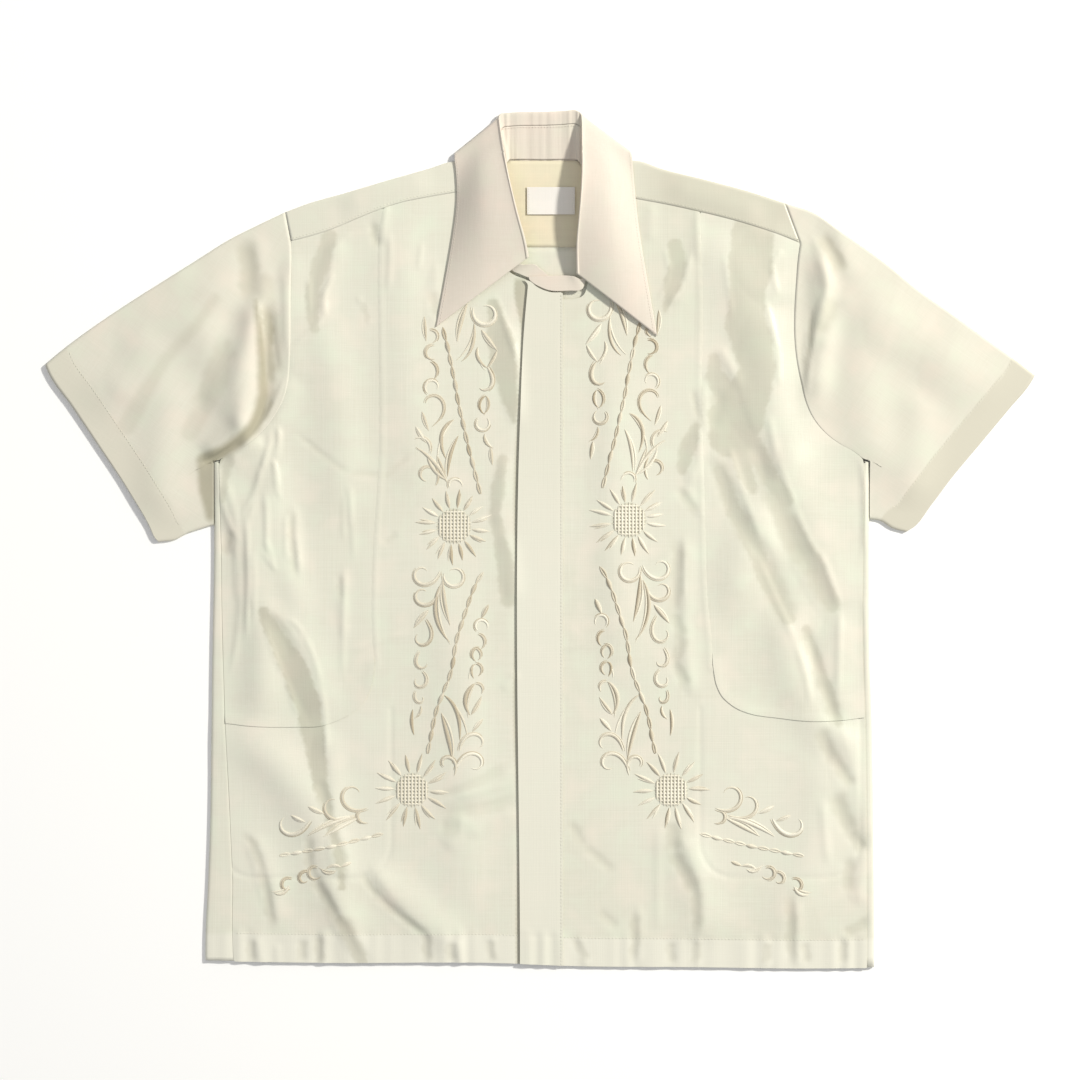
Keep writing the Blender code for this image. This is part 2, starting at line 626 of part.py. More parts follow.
def collar_curves():
    """The lines that run along the collar: edge, middle, roll and lip of the leaf, then the band's."""
    lines = {name: [] for name in ("edge", "middle", "outer", "roll", "inner", "lip", "band", "waist", "seam")}
    for part in collar_rows():
        seam = np.array([part["seam_x"], part["seam_y"], part["seam_z"]])
        roll = np.array([part["roll_x"], part["roll_y"], part["roll_z"]])
        edge = np.array([part["edge_x"], part["edge_y"], part["edge_z"]])
        out = unit((edge - roll) * (1, 1, 0))
        down = unit((seam - roll) * (1, 1, 0))
        middle = (edge + roll) / 2
        middle[2] = part["middle_z"]
        outer = roll + out * ROLL_SIDE
        outer[2] = roll[2] - part["outer_drop"]
        inner = roll + down * ROLL_SIDE * 0.8
        inner[2] = roll[2] - part["inner_drop"]
        reach = np.linalg.norm(seam - inner)
        toward = (seam - inner) / reach
        lip = inner + toward * min(ROLL_LIP, reach * 0.35)
        band = lip + toward * BAND_GAP
        waist = (band + seam) / 2
        for name, point in (("edge", edge), ("middle", middle), ("outer", outer), ("roll", roll),
                            ("inner", inner), ("lip", lip), ("band", band), ("waist", waist), ("seam", seam)):
            lines[name].append(point)
    return lines


def collar_leaf(lines):
    """The pointed leaf with its roll, down to the seam with the band."""
    order = ("edge", "middle", "outer", "roll", "inner", "lip")
    down = [0, 0.5, 1, 1.6, 2, 2.5, 3, 3.5, 4, 5]
    last = len(lines["edge"]) - 1
    tight = (6, 7, 8, 9, 10)
    stations = []
    for k in range(last):
        stations += [k, k + 0.5] if k in tight or last - 1 - k in tight else [k]
    stations.append(last)

    def place(u, v):
        across = [catmull(lines[name], u) for name in order]
        x, y, z = catmull(across, v)
        return x, y, max(z, CLOTH / 2)

    sheet("collar_leaf", stations, down, place, colour=BEIGE, even=False)


def collar_stand(lines):
    """The band that carries the leaf, with its two ends on the front."""
    band, waist, seam = list(lines["band"]), list(lines["waist"]), list(lines["seam"])
    for side in ("left", "right"):
        for row in BAND_END[side]:
            low, high = np.array(row[:3]), np.array(row[3:])
            for line, point in ((band, high), (waist, (low + high) / 2), (seam, low)):
                line.insert(0, point) if side == "left" else line.append(point)

    def place(u, v):
        return catmull([line[u] for line in (band, waist, seam)], v)

    sheet("collar_stand", range(len(seam)), [0, 0.66, 1.33, 2], place, colour=BEIGE, even=False)


def label():
    """The neck label, bare, sewn on the inside of the yoke."""
    wide, tall = LABEL_SIZE

    def place(u, v):
        x, y = LABEL_AT[0] + (u - 0.5) * wide, LABEL_AT[1] + (v - 0.5) * tall
        return x, y, CLOTH + leaf_room(x, y) + SEAM + CLOTH / 2

    sheet("label", [0, 0.5, 1], [0, 0.25, 0.5, 0.75, 1], place, colour=PALE)


for old in list(bpy.data.objects):
    bpy.data.objects.remove(old)
shirt = bpy.data.collections.new("barong_tagalog_shirt")
bpy.context.scene.collection.children.link(shirt)

back()
yoke()
for hand in ("left", "right"):
    front(hand)
    side_panel(hand)
    pouch(hand)
    sleeve(hand)
placket()
curves = collar_curves()
collar_leaf(curves)
collar_stand(curves)
label()
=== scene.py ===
"""Looks of the barong tagalog shirt, laid flat on its back with the collar towards +Y.

Every cloth piece is a thin shell on the form of its solid, with its creases, seams, hems and embroidery.
Sizes in the tables are millimetres, and left and right are the viewer's, looking down.
"""
import math

import bpy
import numpy as np
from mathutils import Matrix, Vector, kdtree
from mathutils.geometry import delaunay_2d_cdt


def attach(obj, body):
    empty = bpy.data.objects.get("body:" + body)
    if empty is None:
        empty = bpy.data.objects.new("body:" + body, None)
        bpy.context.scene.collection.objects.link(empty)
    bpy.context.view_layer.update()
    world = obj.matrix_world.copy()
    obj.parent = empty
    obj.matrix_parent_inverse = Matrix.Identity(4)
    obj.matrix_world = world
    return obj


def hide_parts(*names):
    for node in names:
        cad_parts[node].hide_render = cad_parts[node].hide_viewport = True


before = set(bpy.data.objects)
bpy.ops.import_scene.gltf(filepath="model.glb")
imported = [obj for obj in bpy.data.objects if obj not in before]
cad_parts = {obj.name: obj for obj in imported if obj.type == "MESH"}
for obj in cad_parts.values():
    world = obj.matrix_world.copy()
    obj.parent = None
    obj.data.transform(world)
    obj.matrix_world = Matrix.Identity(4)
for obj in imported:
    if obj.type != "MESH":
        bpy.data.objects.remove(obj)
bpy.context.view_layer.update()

MM = 0.001
CLOTH = 1.0
WALL = 0.4
SEAM = 0.35
YOKE_SEAM = 0.06
SIDE_GAP = 0.05
FRONT_BASE = 2.6
FOLD_ROUND = 2.6
LEAF_LIFT = 1.3
HEM_WIDE = 25.0
CUFF_WIDE = 24.0
BACK_SEAM_Y = 257.0
UNDERARM_Y = 68.6
FINE = 2.4

SLEEVE_FOOT_LEFT = (-288.4, 12.3)
SLEEVE_FOOT_RIGHT = (291.0, 17.6)
NECK_LEFT_X, NECK_RIGHT_X = -30.6, 36.4
NECK_BACK_Y = 333.2

PLACKET_RIGHT_X = 20.2
PLACKET_LIFT = 1.8
UNDERLAP_LEFT_X, UNDERLAP_RIGHT_X = 7.5, 9.5
LABEL_SIZE = (42.0, 24.0)
LABEL_AT = (9.7, 297.9)
POUCH_TOP_Y, POUCH_BOTTOM_Y = -150.0, -298.0
POUCH_INNER_X = {"left": -131.0, "right": 141.0}
POUCH_OUTER_X = 282.0
POUCH_CORNER = 30.0

# Edges seen from above, one (x, y) for each point where the line bends
HEM = ((-300, -371.4), (-183, -373.1), (-35, -373.3), (28, -375.8), (134, -376.8), (239, -378.0), (300, -377.5))
SIDE_FOLD = {
    "left": ((-287.2, 70), (-287, -18), (-288.6, -106), (-289.5, -180), (-290.4, -247), (-292.2, -300),
             (-294.6, -353), (-294.6, -380)),
    "right": ((289.8, 70), (289.8, -18), (290.4, -106), (292.2, -159), (293.2, -230), (294, -318),
              (294.2, -380)),
}
SIDE_SEAM_INSET = {
    "left": ((4.8, 70), (7.6, -53), (12.4, -162), (18.5, -257), (22, -300), (25, -372)),
    "right": ((4.8, 70), (6, -53), (6.5, -380)),
}
ARMHOLE = {
    "left": ((-219.1, 262.2), (-218.6, 250), (-218.9, 227), (-219.1, 204), (-219.1, 181), (-219.9, 158),
             (-221.8, 136), (-225.8, 122), (-232.3, 110), (-246.4, 92), (-257.5, 82.5), (-269.3, 76),
             (-282.6, 69.6)),
    "right": ((228.8, 260.5), (227, 248), (225.3, 227), (223.9, 204), (223.6, 181), (225.6, 158),
              (229.4, 138), (233.2, 122), (237.7, 111), (252.6, 92), (263.5, 84), (275.4, 77.4),
              (285.2, 69.6)),
}
YOKE_FRONT = {
    "left": ((-219.1, 262.2), (-202, 266.5), (-184.8, 272), (-163, 281), (-142.6, 289.3), (-123.2, 295.7),
             (-100, 300.6), (-77.4, 304.5), (-38, 311)),
    "right": ((45, 308), (62, 304), (85.4, 299.2), (113, 294), (140.8, 287.8), (163, 282.4), (184.8, 276.3),
              (207, 269), (228.8, 260.5)),
}
SHOULDER = {
    "left": ((-224.4, 287.8), (-205.9, 294.8), (-169, 305.4), (-133.8, 315.9), (-96.8, 326.5),
             (-80.1, 331.8), (-60, 332.8), (-30.6, 333.2)),
    "right": ((36.4, 333.2), (70, 333.0), (88, 332.6), (105.6, 326.5), (147, 315.9), (185.7, 305.4),
              (215.6, 295.7)),
}
POCKET_SEAM = {
    "left": ((-137.3, 294), (-139.4, 285), (-141.2, 275), (-142.3, 262), (-142.6, 245),
             (-142.6, 57), (-147, -10), (-147.6, -86), (-145.6, -111)),
    "right": ((140.8, 288), (143.4, 210), (142.6, 122), (145.2, 34), (147.8, -54), (151.2, -89),
              (152.2, -111)),
}
POCKET_MOUTH = {
    "left": ((-280, -161.6), (-253, -164.6), (-213, -165.4), (-193, -164.6), (-177, -159.3), (-165, -153),
             (-158.4, -147), (-152, -138), (-148.7, -130), (-145.6, -111)),
    "right": ((152.2, -111), (156, -130), (160, -138), (166.3, -144.3), (174, -149.5), (183, -153.1),
              (210, -157.5), (238, -160.2), (267, -159.3), (290, -156.4)),
}
NECKLINE = {
    "left": ((7.5, 222.6), (-11, 228), (-27.2, 235.4), (-35.4, 247.2), (-42.4, 265), (-45, 285), (-43.4, 301),
             (-40.2, 315), (-30.6, 333.2)),
    "right": ((9.5, 210.5), (39, 215.6), (42.8, 228), (50.4, 244), (53.8, 263), (53.8, 285), (51.4, 301),
              (47.2, 315), (36.4, 333.2)),
}
SLEEVE_TOP = {
    "left": ((-224.4, 287.8), (-250, 275.6), (-274.6, 263.1), (-299, 247.6), (-324.7, 231.4), (-358.2, 210.3),
             (-389.8, 189.2), (-419, 167.6), (-435.8, 153.6)),
    "right": ((215.6, 295.7), (242, 286.9), (262, 273), (276.3, 263.1), (305.4, 242), (330.9, 220.9),
              (360.8, 199.8), (389.8, 178.6), (420, 156.6), (435.8, 144.2)),
}
SLEEVE_CUFF = {
    "left": ((-435.8, 153.6), (-432.6, 146.1), (-411.8, 116.2), (-389.8, 83.6), (-361.7, 41.4),
             (-343.2, 9.7), (-339.6, 1.6), (-336, -2.6)),
    "right": ((435.8, 144.2), (431.2, 136.4), (413.6, 115.3), (387.2, 83.6), (360.8, 51.9),
              (345, 30.8), (326.5, 8.8), (321.5, 6.4)),
}
SLEEVE_LOW = {
    "left": ((-288.4, 12.3), (-299.2, 8.8), (-309.8, 5.3), (-322.1, -0.9), (-336, -2.6)),
    "right": ((291, 17.6), (300.1, 15.8), (309.8, 9.7), (321.5, 6.4)),
}
PLACKET_LEFT = ((-10.2, 228), (-14.1, 184), (-17.6, 104), (-17.6, -380))
PLACKET_TOP = ((-14, 228), (-8.8, 226.8), (-2.6, 221.8), (9.7, 217.2), (21, 217.2))

# Folds of the top layer: centre line from (x0, y0) to (x1, y1), how far it bows to its left, half width, height
FOLDS = (
    (-262, 40, -246, -160, 8, 17, 4.2),
    (-238, 78, -210, -70, -6, 15, 3.0),
    (-262, -170, -168, -352, 22, 22, 4.6),
    (-200, 205, -176, 20, 10, 20, 2.4),
    (-118, 285, -104, 40, -8, 24, 2.2),
    (-150, -292, -70, -365, 4, 15, 2.8),
    (-88, -20, -70, -330, 10, 26, 2.4),
    (66, 150, 78, -120, -10, 24, 2.4),
    (150, 270, 210, 60, 14, 24, 3.4),
    (240, 90, 168, -60, -12, 20, 3.4),
    (214, -60, 268, -190, -14, 20, 3.6),
    (120, -250, 150, -350, 4, 20, 2.6),
    (250, -190, 214, -340, 10, 24, 2.8),
    (-246, 214, -258, 84, -9, 12, 5.4),
    (-300, 196, -270, 60, 8, 22, 3.6),
    (-270, 236, -392, 120, 12, 24, 3.4),
    (-322, 140, -332, 20, -6, 20, 3.0),
    (246, 252, 242, 120, 5, 11, 4.6),
    (290, 214, 300, 60, -10, 24, 3.4),
    (262, 250, 396, 132, -12, 26, 3.2),
    (330, 130, 322, 34, 6, 18, 2.6),
    (-172, 292, -96, 314, 3, 14, 1.6),
    (112, 308, 196, 282, 3, 14, 1.6),
)

# The collar's sections, from the middle of the back to a front end, one row each: neck seam, roll, outer
# edge, height of the leaf's middle, and how far the roll's two sides lie below its top.
# An edge height of None lies on the cloth beneath.
SECTION = ("seam_x", "seam_y", "seam_z", "roll_x", "roll_y", "roll_z", "edge_x", "edge_y", "edge_z",
           "middle_z", "outer_drop", "inner_drop")
COLLAR_BACK = (2.6, 334.2, 1.8, 2.6, 375.6, 2.1, 2.6, 323.0, 0.5, 0.5, 1.6, -1.1)
COLLAR = {
    "left": (
        (-15.8, 334.4, 1.8, -17.6, 375.4, 2.1, -22.0, 323.0, 0.5, 0.5, 1.6, -1.1),
        (-25.6, 334.2, 2.0, -30.5, 374.4, 2.9, -50.0, 323.0, 0.5, 0.5, 2.2, -0.9),
        (-27.4, 333.8, 2.6, -34.5, 373.6, 3.9, -66.0, 327.0, 0.5, 0.6, 2.6, -0.5),
        (-29.0, 331.4, 4.6, -36.0, 371.6, 5.1, -72.0, 335.2, 0.9, 1.6, 1.9, 0.3),
        (-31.4, 327.6, 4.6, -36.0, 369.9, 6.0, -74.6, 339.2, 2.9, 3.6, 1.4, 0.7),
        (-33.8, 323.8, 4.6, -35.8, 367.6, 7.2, -75.2, 334.4, 4.7, 6.0, 1.3, 1.1),
        (-37.4, 315.9, 4.6, -35.2, 361.0, 9.6, -73.8, 321.0, None, 8.8, 1.2, 1.5),
        (-40.8, 301.0, 4.6, -32.4, 342.3, 15.0, -73.0, 301.0, None, 13.4, 1.2, 2.0),
        (-42.5, 285.1, 4.6, -27.5, 315.9, 19.0, -74.8, 280.7, None, 15.6, 1.1, 2.3),
        (-39.9, 264.9, 4.6, -21.0, 287.8, 18.6, -79.2, 252.6, None, 14.6, 1.1, 2.3),
        (-33.0, 247.6, 4.6, -14.1, 262.2, 14.6, -85.4, 219.1, None, 11.4, 1.1, 2.0),
        (-25.4, 237.1, 4.6, -11.4, 246.6, 10.4, -91.5, 186.6, None, 8.6, 1.1, 1.6),
    ),
    "right": (
        (19.4, 334.4, 1.8, 17.6, 376.2, 2.1, 26.0, 323.0, 0.5, 0.5, 1.6, -1.1),
        (30.4, 334.2, 2.0, 29.0, 377.0, 2.9, 54.0, 323.0, 0.5, 0.5, 2.2, -0.9),
        (33.2, 333.8, 2.6, 33.0, 376.2, 3.9, 70.0, 327.0, 0.5, 0.6, 2.6, -0.5),
        (34.8, 331.4, 4.6, 35.4, 374.6, 5.1, 75.6, 337.0, 0.9, 1.6, 1.9, 0.3),
        (37.4, 327.6, 4.6, 36.2, 373.0, 6.0, 78.2, 341.8, 2.9, 3.6, 1.4, 0.7),
        (39.8, 323.8, 4.6, 36.6, 370.8, 7.2, 80.6, 336.8, 4.7, 6.0, 1.3, 1.1),
        (44.2, 315.9, 4.6, 37.0, 364.0, 9.6, 82.0, 323.0, None, 8.8, 1.2, 1.5),
        (48.7, 301.0, 4.6, 37.2, 342.3, 15.0, 83.6, 303.0, None, 13.4, 1.2, 2.0),
        (51.3, 285.1, 4.6, 37.0, 315.9, 19.0, 86.2, 279.0, None, 15.6, 1.1, 2.3),
        (51.3, 263.1, 4.6, 35.2, 287.8, 18.6, 89.8, 254.3, None, 14.6, 1.1, 2.3),
        (48.0, 244.4, 4.6, 33.0, 258.7, 14.0, 95.9, 219.1, None, 11.2, 1.1, 2.0),
        (40.6, 228.4, 4.6, 33.4, 232.4, 8.6, 103.0, 178.6, None, 7.6, 1.1, 1.6),
    ),
}
# The band's ends past the leaf: seam x, y, z, then top edge x, y, z
BAND_END = {
    "left": ((-18.0, 233.2, 4.3, -5.0, 241.6, 5.2), (-9.6, 229.9, 3.3, 0.0, 238.0, 3.6),
             (7.9, 224.1, 3.1, 8.4, 231.0, 3.1)),
    "right": ((36.4, 219.4, 5.0, 29.6, 231.0, 6.2), (25.5, 218.4, 4.9, 22.0, 231.8, 5.0),
              (9.7, 218.4, 4.9, 9.0, 231.4, 5.0), (-2.4, 223.0, 4.9, -3.0, 231.0, 5.0),
              (-9.2, 227.8, 4.9, -10.4, 230.6, 5.0)),
}
ROLL_SIDE = 3.0
ROLL_LIP = 9.0
BAND_WALL = 0.8
COLLAR_CENTRE = (5, 268)
COLLAR_BROAD = 1.25
LEAF_EDGE_GAP = 0.55


# Creases of the top layer, finer than the solids' folds: crest from one (x, y) to the next towards the hem,
# bow, width of the straight flank on its left, width of the soft flank on its right, height. A negative width
# puts the straight flank on the right.
CREASES = (
    (-179.5, 266.6, -195.4, 192.7, 1.5, 12, 10, 2.6), (-137.3, 293.9, -137.3, 259.6, 0, 12, 6, 1.6),
    (-91.5, 243.8, -95, 183.9, 0, 9, 6, 1.4), (-29.9, 196.2, -19.4, 97.7, 4, 20, 6, 2.6),
    (-31.7, 73, -37, 7.9, 0, 10, 8, 2), (-35.2, 9.7, -24.6, -57.2, 5, 12, 8, 2),
    (-279.8, 53.7, -265.8, -18.5, 4, 12, 5, 2.2), (-218.2, 31.7, -213, -29, 2, 8, 5, 1.6),
    (-221.8, 29.9, -219.1, -27.3, -1, 4, 4, 0.9), (-172.5, -25.5, -173.4, -88.9, 0, 8, 5, 1.3),
    (-241.1, -57.2, -191.8, -164.6, 13, 22, 16, 4.4), (-191, -164.6, -181.3, -252.6, 3, 18, 12, 3.8),
    (-181.3, -252.6, -174.2, -300.1, 1, 12, 8, 2.6), (-193.6, -293, -153.1, -375.8, 1, 14, 10, 3.4),
    (-258.7, -257.8, -232.3, -344.1, 7, 14, 10, 3), (-149.6, -286, -93.3, -349.4, -4, 9, 8, 2),
    (-68.6, -240.2, -82.7, -273.7, 2, 14, 8, 1.6), (-74.8, -227.9, -21.1, -203.3, 0, 12, 12, 1.8),
    (-63.4, -261.4, -21.1, -240.2, 0, 10, 12, 1.4), (-232.3, 99.4, -233.2, 69.5, 3, 3, 3, 1.3),
    (-234.1, 71.3, -228.8, 34.3, -2, 3, 3, 1.2), (-237.6, 95.9, -244.6, 60.7, 0, 3, 4, 1.3),
    (-244.6, 67.8, -257.8, 16.7, 2, 3, 4, 1.3), (-257.8, 20.2, -258.7, -88.9, 1, 3, 4, 1.3),
    (-251.7, -5.3, -252.6, -64.2, -2, 3, 3, 1), (-243.8, 44.9, -240.2, -18.5, 1, 3, 3, 1),
    (-244.6, -12.3, -231.4, -29, 0, 3, 3, 1), (-170.7, 48.4, -165.4, -18.5, 2, 3, 4, 0.9),
    (-190.1, 222.6, -191.8, 194.5, 0, 3, 3, 0.9), (-161.9, 213.8, -149.6, 187.4, 1, 3, 3, 1),
    (-265.8, -15, -273.7, -118.8, 5, 4, 4, 1.3), (96.8, 294.8, 95.9, 261.4, 0, 8, 6, 1.4),
    (132, 249, 112.6, 206.8, 5, 14, 8, 2), (208.6, 279, 205.9, 205, -4, 34, 20, 3.4),
    (198.9, 205, 202.4, 87.1, 3, 32, 22, 3.4), (160.2, 164.6, 191.8, 81.8, 3, 20, 12, 2),
    (151.4, 76.6, 211.2, -23.8, 3, 16, 10, 2.6), (204.2, 88.9, 262.2, -73, 6, 30, 22, 4.2),
    (262.2, -64.2, 262.2, -161, 0, 22, 16, 4.6), (262.2, -161, 286.9, -273.7, 4, 22, 14, 4.4),
    (285.1, -271.9, 279.8, -322.1, 0, 16, 6, 2.4), (140.8, 99.4, 130.2, 46.6, 3, 12, 6, 2.2),
    (143.4, 136.4, 144.3, 92.4, 0, 6, 4, 1.4), (126.7, 44.9, 142.6, 18.5, 0, 8, 6, 1.2),
    (127.6, 2.6, 126.7, -71.3, 1, 10, 8, 2.2), (126.7, -64.2, 133.8, -138.2, -2, 12, 8, 2.4),
    (123.2, -261.4, 140.8, -310.6, 2, 14, 10, 2.8), (140.8, -303.6, 139.9, -352.9, 0, 8, 8, 2),
    (283.4, 67.8, 286.9, -18.5, 0, 4, 4, 1.2), (283.4, -50.2, 286, -132.9, 2, 4, 4, 1.2),
    (-190.1, -344.1, -191.8, -377.5, 0, 7, 5, 1.8), (-249.9, -351.1, -244.6, -377.5, 0, 6, 6, 1.6),
    (-232.3, -356.4, -230.6, -377.5, 0, 5, 4, 1.2), (-96.8, -344.1, -96.8, -377.5, 0, 7, 5, 1.8),
    (-73.9, -352.9, -68.6, -377.5, 0, 6, 5, 1.5), (-42.2, -349.4, -40.5, -370.5, 0, 4, 4, 1.2),
    (33.4, -349.4, 40.5, -377.5, 0, 6, 5, 1.6), (86.2, -322.1, 86.2, -377.5, 0, 7, 5, 1.8),
    (139, -349.4, 138.2, -377.5, 0, 5, 4, 1.5), (200.6, -352.9, 200.6, -377.5, 0, 6, 5, 1.5),
    (225.3, -317.7, 225.3, -375.8, 0, 9, 6, 2), (-248.2, 210.3, -244.6, 147, 2, -2.5, 16, 3.6),
    (-244.6, 152.2, -258.7, 95.9, 4, -2.5, 16, 3.6), (-257, 101.2, -293.9, 71.3, 3, -2.5, 12, 3.2),
    (-220, 254.3, -220, 139.9, 0, 16, 14, 3), (-220, 143.4, -244.6, 87.1, 4, 14, 12, 2.8),
    (-242.9, 88.9, -276.3, 71.3, 2, 10, 8, 2.4), (-251.7, 266.6, -241.1, 196.2, 0, 20, 10, 2.4),
    (-265.8, 192.7, -294.8, 113.5, 0, 14, 18, 2), (-308, 245.5, -369.6, 157.5, 0, 26, 30, 2.2),
    (-343.2, 183.9, -376.6, 122.3, 0, 20, 24, 1.6), (239.4, 266.6, 251.7, 210.3, 4, 8, 8, 2.6),
    (249.9, 217.4, 235.8, 129.4, -4, 7, 10, 2.8), (253.4, 291.3, 270.2, 227.9, 2, 20, 12, 3),
    (271, 217.4, 248.2, 164.6, 1, 12, 10, 1.8), (316.8, 243.8, 299.2, 157.5, 2, 26, 26, 2.2),
    (369.6, 201.5, 343.2, 122.3, 2, 24, 26, 2),
)
